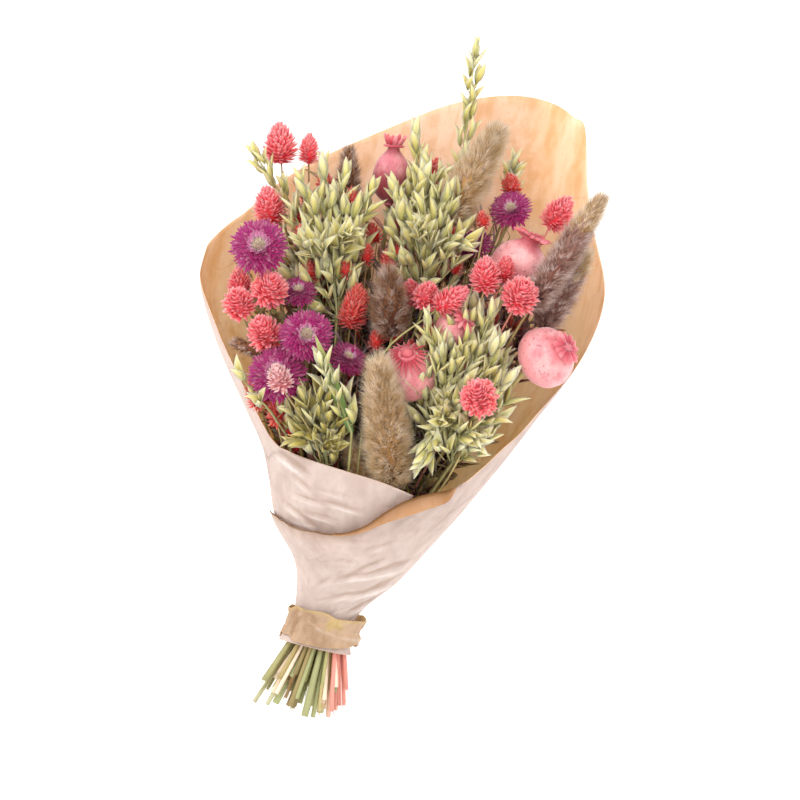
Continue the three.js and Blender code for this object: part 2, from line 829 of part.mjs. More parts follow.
// Pushes stems apart, and clear of heads and paper, until nothing crosses.
function settle(rounds) {
  const blocks = [...heads];
  for (const { name, branches } of OATS)
    for (const points of branches)
      for (let k = 1; k < points.length; k++)
        blocks.push({ name, from: points[k - 1], to: points[k], radius: 2 });
  const push = (strand, k, share, move) => {
    if (!strand.held[k])
      strand.points[k].addScaledVector(move, 1 - share);
    if (!strand.held[k + 1])
      strand.points[k + 1].addScaledVector(move, share);
  };
  for (let round = 0; round < rounds; round++) {
    for (let i = 0; i < strands.length; i++)
      for (let j = i + 1; j < strands.length; j++)
        for (let k = 1; k < strands[i].points.length - 1; k++)
          for (let m = 1; m < strands[j].points.length - 1; m++) {
            const [a, b] = [strands[i], strands[j]];
            const [p, q] = [a.points[k], a.points[k + 1]];
            const [r, s] = [b.points[m], b.points[m + 1]];
            const least = a.radius + b.radius + STEM_GAP;
            if (
              Math.max(p.y, q.y) + least < Math.min(r.y, s.y) ||
              Math.max(r.y, s.y) + least < Math.min(p.y, q.y)
            )
              continue;
            const [t, u] = nearest(p, q, r, s);
            const apart = p.clone().lerp(q, t).sub(r.clone().lerp(s, u));
            const short = least - apart.length();
            if (short <= 0) continue;
            apart.setLength(short * STEM_PUSH);
            push(a, k, t, apart);
            push(b, m, u, apart.negate());
          }
    for (const strand of strands) {
      for (const block of blocks) {
        if (block.name === strand.name) continue;
        for (let k = 1; k < strand.points.length - 1; k++) {
          const [p, q] = [strand.points[k], strand.points[k + 1]];
          const [t, u] = nearest(p, q, block.from, block.to);
          const at = block.from.clone().lerp(block.to, u);
          const apart = p.clone().lerp(q, t).sub(at);
          const short =
            block.radius + strand.radius + STEM_GAP - apart.length();
          if (short <= 0) continue;
          push(strand, k, t, apart.setLength(short * HEAD_PUSH));
        }
      }
      for (let k = 2; k < strand.points.length - 1; k++) {
        const middle = strand.points[k - 1]
          .clone()
          .lerp(strand.points[k + 1], 0.5);
        if (!strand.held[k]) strand.points[k].lerp(middle, EASE);
      }
      const slot = strand.points[1];
      const out = outOfNeck({ x: slot.x, y: slot.z - NECK_HEIGHT }, strand);
      slot.set(slot.x / out, 0, NECK_HEIGHT + (slot.z - NECK_HEIGHT) / out);
      strand.points[0] = cutEnd(strand, slot);
      for (let k = 1; k < strand.points.length - 2; k++)
        for (const share of PAPER_TESTS) {
          const at = strand.points[k].clone().lerp(strand.points[k + 1], share);
          const kept = keepInPaper(at.clone(), strand.radius);
          push(strand, k, share, kept.sub(at));
        }
    }
  }
}

// Keeps a point of a stem inside the paper, where there is paper.
function keepInPaper(point, radius) {
  const margin = radius + PAPER_MARGIN[point.y < NECK_TOP ? 0 : 1];
  const [width, height, middle, across] = [1, 2, 3, 4].map(
    (column) => along(SECTIONS, point.y, column) - (column < 3 ? margin : 0),
  );
  const [x, z] = [point.x - across, point.z - middle];
  const angle = THREE.MathUtils.radToDeg(Math.atan2(-x, z));
  const turn = angle < WRAP_START ? angle + 360 : angle;
  const out = Math.hypot(x / width, z / height);
  if (out > 1 && point.y < along(RIM, turn) + RIM_REACH) {
    point.x = across + x / out;
    point.z = middle + z / out;
  }
  point.z = Math.max(point.z, PAPER + radius + FIT);
  return point;
}

firstRoutes();
settle(SETTLE_ROUNDS);

// Building the pieces

const made = [];
function keep(name, body, material) {
  made.push({ name, body, box: body.boundingBox(), material });
}
keep("paper_wrap", wrap, KRAFT);
keep("paper_tie", tie, TIE_PAPER);

const stemOf = (strand, sides) =>
  rod(
    strand.points,
    strand.points.map(() => strand.radius),
    sides,
  );

for (const strand of strands) {
  if (strand.oat) continue;
  const { length, width } = heads.find((head) => head.name === strand.name);
  const grown = planted(
    strand.kind.grow(length, width),
    strand.root,
    strand.direction,
  );
  const stem = stemOf(strand, strand.kind.sides);
  keep(strand.name, stem.add(solid(grown)), strand.material);
}

// True if a body would cross one of these others.
function crosses(body, others) {
  const box = body.boundingBox();
  return others.some(
    (other) =>
      [0, 1, 2].every(
        (a) => box.min[a] < other.box.max[a] && other.box.min[a] < box.max[a],
      ) && body.intersect(other.body).volume() > 0,
  );
}

// An oat: spikelets stand round each branch, turned clear of all that is near or left out.
const SPIKELET = solid(spikelet());
const GOLDEN_TURN = Math.PI * (3 - Math.sqrt(5));
const OTHER_TURNS = [0, 1.4, -1.4, 2.8, 0.7, -0.7, 2.1, -2.1];
function oat({ fork, tips, leaf, branches }, stem) {
  const rods = branches.map((points) => {
    const body = rod(points, points.map(() => BRANCH_RADIUS), 3);
    return { body, box: body.boundingBox() };
  });
  const husks = [];
  branches.forEach((points, b) => {
    const steps = points.length - 1;
    const count = tips[b][3];
    const others = [...made, ...rods.filter((_, r) => r !== b)];
    for (let n = 0; n < count; n++) {
      const t = 0.3 + (0.69 * n) / (count - 1);
      const k = Math.floor(t * steps);
      const root = points[k].clone().lerp(points[k + 1], t * steps - k);
      const ahead = points[k + 1].clone().sub(points[k]).normalize();
      const spread = n === count - 1 ? 0 : SPIKELET_SPREAD;
      const side = new THREE.Vector3(0, 0, 1).cross(ahead).normalize();
      for (const extra of OTHER_TURNS) {
        const direction = ahead
          .clone()
          .multiplyScalar(Math.cos(spread))
          .addScaledVector(
            side.clone().applyAxisAngle(ahead, n * GOLDEN_TURN + extra),
            Math.sin(spread),
          );
        const turn = new THREE.Quaternion().setFromUnitVectors(
          new THREE.Vector3(0, 1, 0),
          direction,
        );
        const husk = SPIKELET.transform(
          new THREE.Matrix4().compose(
            root,
            turn,
            new THREE.Vector3(1, 1, 1),
          ).elements,
        );
        if (crosses(husk, others) || crosses(husk, husks)) continue;
        husks.push({ body: husk, box: husk.boundingBox() });
        break;
      }
    }
  });
  const bodies = [stem, ...[...rods, ...husks].map(({ body }) => body)];
  if (leaf) bodies.push(leafBlade(place(...fork), place(...leaf)));
  return wasm.Manifold.union(bodies);
}

for (const strand of strands) {
  if (!strand.oat) continue;
  const stem = stemOf(strand, 3);
  keep(strand.name, oat(strand.oat, stem), OAT_GREEN);
}

// The bunch, set over the middle of its own box
const bouquet = new THREE.Group();
for (const { name, body, material } of made) {
  const mesh = new THREE.Mesh(geometryOf(body), material);
  mesh.name = name;
  bouquet.add(mesh);
}
const box = new THREE.Box3().setFromObject(bouquet);
const centre = box.getCenter(new THREE.Vector3());
bouquet.position.set(-centre.x, -centre.y, -box.min.z);

export default bouquet;
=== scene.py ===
"""The looks of a bunch of dried flowers in a kraft paper wrap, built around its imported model.

Sizes are millimetres in the bunch's own frame, and a piece turns them into metres when it is done.
The origin lies on the surface under the middle of the tie, +Y runs up along the bunch and +Z to its front.
"""

import json
import logging
import math
import random
from dataclasses import dataclass
from enum import Enum
from functools import cache
from typing import Iterable, Mapping, Sequence, Union

import bmesh
import bpy
import numpy as np
from mathutils import Matrix, Vector, noise

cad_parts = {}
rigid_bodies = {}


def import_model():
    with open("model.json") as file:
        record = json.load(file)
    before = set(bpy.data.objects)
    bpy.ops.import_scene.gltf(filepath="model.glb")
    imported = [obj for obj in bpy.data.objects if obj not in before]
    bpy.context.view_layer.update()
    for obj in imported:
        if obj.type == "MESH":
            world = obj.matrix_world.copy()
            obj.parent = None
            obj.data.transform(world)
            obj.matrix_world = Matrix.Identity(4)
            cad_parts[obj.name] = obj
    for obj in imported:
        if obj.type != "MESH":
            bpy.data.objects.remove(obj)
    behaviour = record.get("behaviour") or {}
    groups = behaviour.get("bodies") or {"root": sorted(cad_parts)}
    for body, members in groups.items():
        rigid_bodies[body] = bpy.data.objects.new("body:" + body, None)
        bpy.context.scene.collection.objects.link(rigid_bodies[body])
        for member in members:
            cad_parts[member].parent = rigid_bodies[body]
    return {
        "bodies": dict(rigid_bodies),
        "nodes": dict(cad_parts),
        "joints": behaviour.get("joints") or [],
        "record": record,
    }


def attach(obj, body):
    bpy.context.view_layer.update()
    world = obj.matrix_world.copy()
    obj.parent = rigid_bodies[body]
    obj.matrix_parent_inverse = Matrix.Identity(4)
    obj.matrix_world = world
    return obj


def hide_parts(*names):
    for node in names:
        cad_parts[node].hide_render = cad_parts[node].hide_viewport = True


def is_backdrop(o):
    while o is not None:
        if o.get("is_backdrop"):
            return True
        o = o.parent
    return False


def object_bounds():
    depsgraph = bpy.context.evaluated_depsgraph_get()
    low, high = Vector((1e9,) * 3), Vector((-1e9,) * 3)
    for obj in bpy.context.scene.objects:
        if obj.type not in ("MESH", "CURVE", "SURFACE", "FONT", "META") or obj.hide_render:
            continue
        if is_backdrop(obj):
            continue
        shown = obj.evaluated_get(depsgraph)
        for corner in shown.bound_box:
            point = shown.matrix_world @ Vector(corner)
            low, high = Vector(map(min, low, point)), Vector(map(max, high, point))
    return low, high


LOG = logging.getLogger("bouquet")
MM = 0.001
LEAN = math.radians(13.0)  # the bunch leans this far to the right in the front view
BOX_MIDDLE = Vector((0.157, 176.293, 0.0))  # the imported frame's origin in the bunch's own frame
SHEET_EDGE = 131.2  # past here the paper's left side is drawn in, so that it goes 1 mm further at most
LOWEST = 0.6  # the paper's outer face lies this high where it rests
CREASE_TURN = math.radians(30.0)  # the fine creases run this way
GOLDEN_TURN = math.pi * (3.0 - math.sqrt(5.0))
STEPS = 12  # straight steps along a branch
NUDGE = 1e-3  # a small step that finds a slope
CARRIED = ("along", "tint", "rim")  # the numbers that a mesh carries for its finish
Colour = tuple[float, float, float, float]
Row = Sequence[float]


def paint(colour: int) -> Colour:
    """Turns a screen's colour, 0xRRGGBB, into a shader's linear colour with full alpha."""
    return (*((part / 255) ** 2.2 for part in colour.to_bytes(3, "big")), 1.0)


def smooth(low: float, high: float, value: float) -> float:
    """Runs smoothly from 0 at low to 1 at high, which may lie below it."""
    t = min(max((value - low) / (high - low), 0.0), 1.0)
    return t * t * (3 - 2 * t)


def table(rows: Sequence[Row], at: float, column: int = 1) -> float:
    """Reads a smooth curve through a table's rows.

    Args:
        rows: The rows, each with its place first.
        at: The place to read.
        column: The column to read.

    Returns:
        The value there.
    """
    i = next((k for k, row in enumerate(rows) if row[0] > at), len(rows) - 1)
    i = max(1, i)
    a, b = rows[i - 1], rows[i]

    def slope(p: Row, q: Row) -> float:
        """The slope between two rows."""
        return (q[column] - p[column]) / (q[0] - p[0])

    own = slope(a, b)
    start = (slope(rows[i - 2], a) + own) / 2 if i > 1 else own
    end = (own + slope(b, rows[i + 1])) / 2 if i < len(rows) - 1 else own
    width = b[0] - a[0]
    t = min(max((at - a[0]) / width, 0.0), 1.0)
    return (
        a[column] * (1 + 2 * t) * (1 - t) ** 2
        + b[column] * t * t * (3 - 2 * t)
        + width * t * (1 - t) * (start * (1 - t) - end * t)
    )


def place(across: float, up: float, height: float) -> Vector:
    """Turns a place read off the front view so that the bunch runs along +Y."""
    return Matrix.Rotation(LEAN, 3, "Z") @ Vector((across, up, height))


def front_view(spot: Vector) -> Vector:
    """Turns a place of the bunch back to where the front view shows it."""
    return Matrix.Rotation(-LEAN, 3, "Z") @ spot


def heading(turn: float, tilt: float) -> Vector:
    """Gives the direction that turns right and tilts to the front by these degrees."""
    t, f = math.radians(turn), math.radians(tilt)
    return place(math.sin(t) * math.cos(f), math.cos(t) * math.cos(f), math.sin(f))


def ring(axis: Vector, angle: float) -> Vector:
    """Gives the direction at right angles to an axis, at an angle round it."""
    side = axis.orthogonal().normalized()
    return side * math.cos(angle) + axis.cross(side) * math.sin(angle)


def leaning(axis: Vector, out: Vector, degrees: float) -> tuple[Vector, Vector]:
    """Leans from an axis outwards: the direction, and the one at right angles that looks outwards."""
    lean = math.radians(degrees)
    ahead = axis * math.cos(lean) + out * math.sin(lean)
    return ahead, out * math.cos(lean) - axis * math.sin(lean)


def oval(n: int, count: int, wide: float, tall: float) -> tuple[float, float]:
    """Gives place n of count that fill an oval evenly, by its half sizes."""
    turn, far = n * GOLDEN_TURN, math.sqrt((n + 0.5) / count)
    return wide * far * math.cos(turn), tall * far * math.sin(turn)


def bow(start: Vector, middle: Vector, end: Vector, share: float) -> Vector:
    """Gives a point of the curve that sets out from start for middle and bends to end."""
    return start.lerp(middle, share).lerp(middle.lerp(end, share), share)


def crest(spot: Vector, sharpness: float, power: int) -> float:
    """Gives thin crests, up to 1 high, where noise passes its middle."""
    return max(1 - abs(noise.noise(spot)) * sharpness, 0.0) ** power


def along(points: Sequence[Vector], share: float) -> tuple[Vector, Vector]:
    """Gives the place at a share of a chain of points, and the direction there."""
    steps = len(points) - 1
    k = min(int(share * steps), steps - 1)
    return points[k].lerp(points[k + 1], share * steps - k), (points[k + 1] - points[k]).normalized()


class Socket:
    """A shader socket that takes part in sums and products as a number does."""

    def __init__(self, look: "Look", socket: bpy.types.NodeSocket) -> None:
        """Keeps the socket and the look that it belongs to."""
        self.look = look
        self.socket = socket

    def _math(self, operation: str, first: "Term", second: "Term") -> "Socket":
        """Adds a Math node for two terms."""
        return self.look.node("ShaderNodeMath", {"operation": operation}, {0: first, 1: second})

    def __add__(self, other: "Term") -> "Socket":
        """Adds a term."""
        return self._math("ADD", self, other)

    def __sub__(self, other: "Term") -> "Socket":
        """Takes a term away."""
        return self._math("SUBTRACT", self, other)

    def __rsub__(self, other: "Term") -> "Socket":
        """Takes this away from a term."""
        return self._math("SUBTRACT", other, self)

    def __mul__(self, other: "Term") -> "Socket":
        """Multiplies by a term."""
        return self._math("MULTIPLY", self, other)

    def size(self) -> "Socket":
        """Takes the value without its sign."""
        return self._math("ABSOLUTE", self, 0.0)

    def sine(self) -> "Socket":
        """Takes the sine."""
        return self._math("SINE", self, 0.0)

    def between(self, low: float, high: float) -> "Socket":
        """Rises smoothly from 0 at low to 1 at high."""
        inputs = {"Value": self, "From Min": low, "From Max": high}
        return self.look.node("ShaderNodeMapRange", {"interpolation_type": "SMOOTHSTEP"}, inputs)

    __radd__ = __add__
    __rmul__ = __mul__


Term = Union[Socket, float]
Tone = Union[Socket, Colour, int]


class Look:
    """One material in the making, around a single Principled shader."""

    def __init__(self, name: str, **constants: Union[float, Colour]) -> None:
        """Starts the material.

        Args:
            name: The material's name.
            constants: Shader sockets that are the same all over, with _ for a space.
        """
        self.material = bpy.data.materials.new(name)
        self.material.use_nodes = True
        self.tree = self.material.node_tree
        self.shader = self.tree.nodes["Principled BSDF"]
        for key, value in constants.items():
            self.shader.inputs[key.replace("_", " ").title().replace("Ior", "IOR")].default_value = value

    def node(
        self, kind: str, settings: Mapping[str, object], inputs: Mapping[Union[int, str], object],
        output: Union[int, str] = 0,
    ) -> Socket:
        """Adds a node.

        Args:
            kind: The node's type.
            settings: The node's own settings, with stops for a ramp's.
            inputs: Values or sockets for its inputs, by name or number.
            output: The output to give back.

        Returns:
            That output.
        """
        made = self.tree.nodes.new(kind)
        for key, value in settings.items():
            if key == "stops":
                elements = made.color_ramp.elements
                while len(elements) < len(value):
                    elements.new(0.5)
                for element, (position, colour) in zip(elements, value):
                    element.position = position
                    element.color = colour
            else:
                setattr(made, key, value)
        for key, value in inputs.items():
            if isinstance(value, Socket):
                self.tree.links.new(value.socket, made.inputs[key])
            else:
                made.inputs[key].default_value = value
        return Socket(self, made.outputs[output])

    def attribute(self, name: str) -> Socket:
        """Reads a number that the mesh carries."""
        return self.node("ShaderNodeAttribute", {"attribute_name": name}, {}, "Fac")

    def noise(
        self, scale: float, stretch: Row = (1, 1, 1), detail: float = 2.0, turn: float = 0.0
    ) -> Socket:
        """Reads noise on Object coordinates.

        Args:
            scale: Waves to a metre.
            stretch: How much longer its waves are along each axis.
            detail: Finer waves on top.
            turn: How far those axes are turned, seen from the front.

        Returns:
            The noise, about 0.5.
        """
        spot = self.node("ShaderNodeTexCoord", {}, {}, "Object")
        turned = {"Vector": spot, "Rotation": (0, 0, turn), "Scale": stretch}
        spot = self.node("ShaderNodeMapping", {"vector_type": "TEXTURE"}, turned)
        inputs = {"Vector": spot, "Scale": scale, "Detail": detail}
        return self.node("ShaderNodeTexNoise", {}, inputs, "Fac")

    def mix(self, factor: Term, low: Tone, high: Tone, how: str = "MIX") -> Socket:
        """Mixes two colours."""
        low, high = (paint(tone) if isinstance(tone, int) else tone for tone in (low, high))
        settings = {"data_type": "RGBA", "blend_type": how}
        return self.node("ShaderNodeMix", settings, {0: factor, 6: low, 7: high}, 2)

    def ramp(self, factor: Term, *stops: tuple[float, int]) -> Socket:
        """Runs through colours."""
        painted = [(at, paint(tone)) for at, tone in stops]
        return self.node("ShaderNodeValToRGB", {"stops": painted}, {"Fac": factor})

    def relief(self, height: Socket, depth: float) -> None:
        """Raises the surface by a height map of this depth in metres."""
        bump = self.node("ShaderNodeBump", {}, {"Height": height, "Distance": depth})
        self.set("Normal", bump)

    def thin(self, weight: float, depth: float) -> None:
        """Lets light through thin parts, to a depth in metres."""
        self.shader.inputs["Subsurface Weight"].default_value = weight
        self.shader.inputs["Subsurface Radius"].default_value = (1.0, 0.75, 0.5)
        self.shader.inputs["Subsurface Scale"].default_value = depth

    def set(self, name: str, value: Socket) -> None:
        """Links a socket to the shader."""
        self.tree.links.new(value.socket, self.shader.inputs[name])


@dataclass(frozen=True)
class Kraft:
    """Kraft paper: fibres along the bunch, bands across it, clouds of pulp, and sharp small creases, with
    painted shade in their valleys and painted highlights on their ridges.
    """

    name: str
    pale: int
    deep: int
    # painted shade where the wrap's paper is rolled over; on the tie, painted light through a thin place and
    # painted shade along its upper edge
    painted_shade_and_glow: int
    creased: float = 1.0
    thin: float = 0.3
    # painted shade in the valleys of the sheet's creases
    fold: Colour = (0.33, 0.22, 0.16, 1.0)

    def make(self) -> bpy.types.Material:
        """Builds the material, which takes its colour of painted shade and glow where the mesh's tint is 1.
        """
        look = Look(self.name, roughness=0.8, specular_ior_level=0.3)
        look.thin(self.thin, 0.004)
        cloud = look.noise(16, (1, 2, 1), 5)
        fibre = look.noise(260, (1, 8, 1), 3)
        band = look.noise(60, (1, 14, 1), 2)
        pulp = look.noise(90, (1, 1.6, 1), 5)
        tone = cloud.between(0.34, 0.68) * 0.35 + fibre * 0.2 + band.between(0.35, 0.65) * 0.2
        tone = tone + pulp.between(0.36, 0.64) * 0.25
        colour = look.mix((tone + 0.1).between(0.12, 0.88), self.deep, self.pale)
        strand = look.noise(210, (1, 7, 1), 4).between(0.56, 0.7) * 0.35
        colour = look.mix(strand, colour, self.deep)
        speck = look.noise(520, (1, 1.4, 1), 3).between(0.6, 0.72) * 0.4
        colour = look.mix(speck, colour, self.deep)
        # painted shade on the wrap's rolled edge, and on the tie painted light through a thin place and
        # painted shade along its upper edge, by the mesh's tint
        colour = look.mix(look.attribute("tint"), colour, self.painted_shade_and_glow)
        crease = (look.noise(46, (3.5, 1, 1.6), 1, CREASE_TURN) - 0.5).size().between(0.0, 0.05)
        fine = (look.noise(105, (2.6, 1, 1.4), 1, CREASE_TURN) - 0.5).size().between(0.0, 0.08)
        where = look.noise(24, (1, 1, 1), 1).between(0.42, 0.66) * self.creased
        # painted shade along the fine crease lines
        colour = look.mix((1 - crease) * where * 0.4, colour, self.deep)
        # painted shade in the valleys of the creases that the mesh's rim number carries, and a painted
        # highlight on their ridges
        fold = look.attribute("rim") - 0.5
        colour = look.mix((0 - fold).between(0.0, 0.5) * 0.6, colour, self.fold)
        colour = look.mix(fold.between(0.0, 0.5) * 0.6, colour, (0.9, 0.82, 0.76, 1.0))
        look.set("Base Color", colour)
        height = fibre * 0.12 + look.noise(900, (1, 3, 1)) * 0.1
        look.relief(height + (crease + fine * 0.4) * where, 0.0008)
        return look.material


@dataclass(frozen=True)
class Stalk:
    """A dry stem: one colour at its cut end, another near what grows on it, and fine fibres."""

    name: str
    foot: int
    head: int

    def make(self) -> bpy.types.Material:
        """Builds the material."""
        look = Look(self.name, roughness=0.6)
        fibre = look.noise(800, (1, 20, 1), 3)
        patch = look.noise(60, (1, 2, 1), 2)
        colour = look.mix(look.attribute("along").between(0.12, 0.5), self.foot, self.head)
        tone = fibre * 0.5 + patch * 0.4 + look.attribute("tint") * 0.5
        colour = look.mix((1 - tone.between(0.3, 1.0)) * 0.7, colour, (0.5, 0.42, 0.32, 1), "MULTIPLY")
        look.set("Base Color", colour)
        look.relief(fibre, 0.0005)
        return look.material


@dataclass(frozen=True)
class Scale:
    """What grows in many small blades: its colours from root to tip, its rim and its veins."""

    name: str
    root: int
    middle: int
    tip: int
    rim: int
    rim_share: float = 0.3
    veins: float = 0.0
    roughness: float = 0.6
    spread: float = 0.45
    gloss: float = 0.3
    shade: Colour = (0.5, 0.44, 0.42, 1.0)
    thin: float = 0.35

    def make(self) -> bpy.types.Material:
        """Builds the material."""
        look = Look(self.name, roughness=self.roughness, specular_ior_level=self.gloss, sheen_weight=0.2)
        look.thin(self.thin, 0.003)
        share, tint, rim = (look.attribute(name) for name in CARRIED)
        colour = look.ramp(share, (0.0, self.root), (0.45, self.middle), (1.0, self.tip))
        edge = (rim * rim).between(0.35, 1.0) * self.rim_share
        colour = look.mix(edge, colour, self.rim)
        patch = look.noise(400, (1, 1, 1), 3)
        tone = (tint - 0.5) * self.spread + (patch - 0.5) * 0.35
        if self.veins:
            wave = (rim * (2 * math.pi * self.veins)).sine()
            tone = tone + wave * 0.07
            look.relief(wave * 0.16 + patch * 0.6, 0.00022)
        else:
            look.relief(patch, 0.0003)
        tone = tone.between(-0.5, 0.5)
        colour = look.mix((1 - tone) * 0.7, colour, self.shade, "MULTIPLY")
        light = look.mix(tone.between(0.5, 1.0) * 0.2, colour, (1, 1, 1, 1))
        look.set("Base Color", light)
        return look.material


@dataclass(frozen=True)
class Pod:
    """A poppy pod's skin: dyed, mottled and darker towards its crown, with a colour of its own at its foot
    that is painted shade on the dark pod.
    """

    name: str
    pale: int
    deep: int
    crown: int
    foot: int

    def make(self) -> bpy.types.Material:
        """Builds the material."""
        look = Look(self.name, roughness=0.55, sheen_weight=0.35, sheen_roughness=0.4)
        cloud = look.noise(75, (1, 1, 1), 4)
        speck = look.noise(480, (1, 1, 1), 3)
        colour = look.mix(cloud.between(0.32, 0.66), self.deep, self.pale)
        dust = look.noise(120, (1, 2, 1), 4).between(0.42, 0.7) * 0.4
        colour = look.mix(dust, colour, 0xECC8C0)
        share = look.attribute("along")
        # towards its foot the pod takes its foot colour; the dark pod's is painted shade on its lower part
        colour = look.mix((1 - share.between(0.42, 0.66)) * 0.8, colour, self.foot)
        colour = look.mix(speck.between(0.58, 0.7) * 0.55, colour, 0x823C48)
        streak = look.noise(260, (1, 4, 2), 3).between(0.56, 0.76) * 0.4
        colour = look.mix(streak, colour, 0xA65C62)
        colour = look.mix(share.between(0.78, 0.95) * 0.7, colour, self.crown)
        look.set("Base Color", colour)
        look.relief(cloud * 0.7 + speck * 0.5, 0.0011)
        look.set("Roughness", 0.42 + cloud * 0.3)
        return look.material


@dataclass(frozen=True)
class Plain:
    """The floor: pale and almost even."""

    name: str
    colour: int

    def make(self) -> bpy.types.Material:
        """Builds the material."""
        look = Look(self.name, roughness=0.9, emission_strength=0.3, emission_color=(1, 1, 1, 1))
        tone = look.noise(3) * 0.02
        look.set("Base Color", look.mix(tone, self.colour, (0.8, 0.8, 0.8, 1)))
        return look.material


Finish = Union[Kraft, Stalk, Scale, Pod, Plain]


@cache
def material(finish: Finish) -> bpy.types.Material:
    """Builds a finish's material once."""
    return finish.make()


BRISTLY = {"rim_share": 0.2, "roughness": 0.7, "spread": 1.2, "gloss": 0.25, "thin": 0.1}


class Finishes(Enum):
    """The finishes of the bunch's pieces."""

    # The third colour of each paper is painted: shade on the wrap's rolled edge; on the tie, light through a
    # thin place and shade along its upper edge
    PAPER_OUT = Kraft("paper_outside", 0xC9B4AA, 0xB19B91, 0x8C6848, creased=0.9, thin=0.12)
    PAPER_IN = Kraft("paper_inside", 0xF4C3A6, 0xD99C71, 0x684A2E, creased=0.3, thin=0.36)
    TIE = Kraft("paper_tie", 0xB89A80, 0x947458, 0xBA9E68, creased=0.9, thin=0.2)
    CORAL = Scale(
        "canary_coral", 0xE41A30, 0xFC5462, 0xFF98A0, 0xFFA4AA, rim_share=0.35, spread=0.3,
        shade=(0.94, 0.36, 0.38, 1.0), thin=0.5,
    )
    # a deeper red copy of the coral, painted shade for heads that lie in shade
    RED = Scale(
        "canary_red", 0xAA1012, 0xE8322E, 0xFA7062, 0xFC7A6E, spread=0.4, shade=(0.8, 0.3, 0.3, 1.0),
        thin=0.5,
    )
    PALE = Scale("canary_pale", 0xE86876, 0xFC9AA0, 0xFFD8D2, 0xFFDED8)
    MAGENTA = Scale(
        "strawflower_bracts", 0xE86EB2, 0xCC1C7C, 0xA0065C, 0xE654A0, rim_share=0.35, roughness=0.45,
        spread=0.8, gloss=0.4, shade=(0.46, 0.18, 0.42, 1.0), thin=0.2,
    )
    HEART = Scale(
        "strawflower_heart", 0xFCE6DC, 0xF0A0C4, 0xCE3288, 0xFABED6, roughness=0.4, spread=0.3, gloss=0.5,
    )
    DISC = Scale("strawflower_disc", 0xCEA05A, 0xF0D6A4, 0xFCF0D2, 0xFCF0D2)
    POD = Pod("poppy_pod", 0xEFA4A5, 0xCF767C, 0xC8505E, 0xDC888A)
    # its dark foot colour is painted shade on the lower part of the pod
    DARK_POD = Pod("poppy_pod_dark", 0xD07C84, 0xB2525E, 0x962C3C, 0x84202A)
    CROWN = Scale("poppy_crown", 0x8C142C, 0xCE4254, 0xEA8088, 0xEC848C)
    BEIGE = Scale(
        "plume_beige", 0x7A4E22, 0xE0B070, 0xFFEECC, 0xFFEECC, shade=(0.5, 0.38, 0.24, 1.0), **BRISTLY
    )
    BROWN = Scale(
        "plume_brown", 0x32180E, 0x7E482C, 0xCC986A, 0xCC986A, shade=(0.44, 0.34, 0.28, 1.0), **BRISTLY
    )
    MAUVE = Scale(
        "plume_mauve", 0x4C2622, 0xA8705E, 0xF4D0BC, 0xF4D0BC, shade=(0.44, 0.34, 0.32, 1.0), **BRISTLY
    )
    HUSK = Scale(
        "oat_husk", 0xA09C4E, 0xD0C882, 0xF4E6B2, 0xF6EABE, rim_share=0.5, veins=2.5, roughness=0.55,
        shade=(0.84, 0.76, 0.48, 1.0), thin=0.5,
    )
    STRAW_HUSK = Scale(
        "oat_husk_straw", 0x787026, 0xB2A450, 0xE4D68A, 0xE4D68E, rim_share=0.5, veins=2.5, roughness=0.55,
        spread=0.6, gloss=0.35, shade=(0.6, 0.52, 0.28, 1.0), thin=0.4,
    )
    LEAF = Scale(
        "oat_leaf", 0x5C8438, 0x7A984A, 0xB0B468, 0xA0AE62, veins=4.0, roughness=0.5, spread=0.3,
        gloss=0.35,
    )
    # the undergrowth's dark olive, plum and rust leaves are partly real foliage and partly painted shade
    # between the heads
    SHADE_LEAF = Scale("undergrowth_olive", 0x685C28, 0x968642, 0xBEAC64, 0xBEAC64, veins=2.0, spread=0.8)
    PLUM_LEAF = Scale("undergrowth_plum", 0x3A1620, 0x602632, 0x924C50, 0x924C50, veins=2.0, spread=0.8)
    RUST_LEAF = Scale("undergrowth_rust", 0x742216, 0xB43E2C, 0xD67052, 0xD67052, veins=2.0, spread=0.8)
    LIME_LEAF = Scale("undergrowth_lime", 0x968830, 0xC4B854, 0xE6D884, 0xE6D884, veins=2.0, spread=0.6)
    BUD = Scale("undergrowth_bud", 0xBE965A, 0xECD096, 0xFCEECC, 0xFCEECC)
    GREEN_STALK = Stalk("stalk_green", 0xB0B480, 0xB2AE72)
    GREY_STALK = Stalk("stalk_grey_green", 0xCECEA8, 0xAAA670)
    CREAM_STALK = Stalk("stalk_cream", 0xFAE4C8, 0xC4B278)
    BROWN_STALK = Stalk("stalk_brown", 0xD6A884, 0xA8885A)
    OLIVE_STALK = Stalk("stalk_olive", 0xA8906A, 0x968454)
    SALMON_STALK = Stalk("stalk_salmon", 0xF6CEB8, 0xE29282)
    FLOOR = Plain("floor_paper", 0xFAFAFA)


def polish(faces: Iterable[bmesh.types.BMFace], finish: int = 0) -> None:
    """Makes faces smooth and gives them one of their piece's finishes."""
    for face in faces:
        face.smooth = True
        face.material_index = finish


def carry(bm: bmesh.types.BMesh) -> list[bmesh.types.BMLayerItem]:
    """Adds the numbers that a mesh carries for its finish."""
    return [bm.verts.layers.float.new(name) for name in CARRIED]


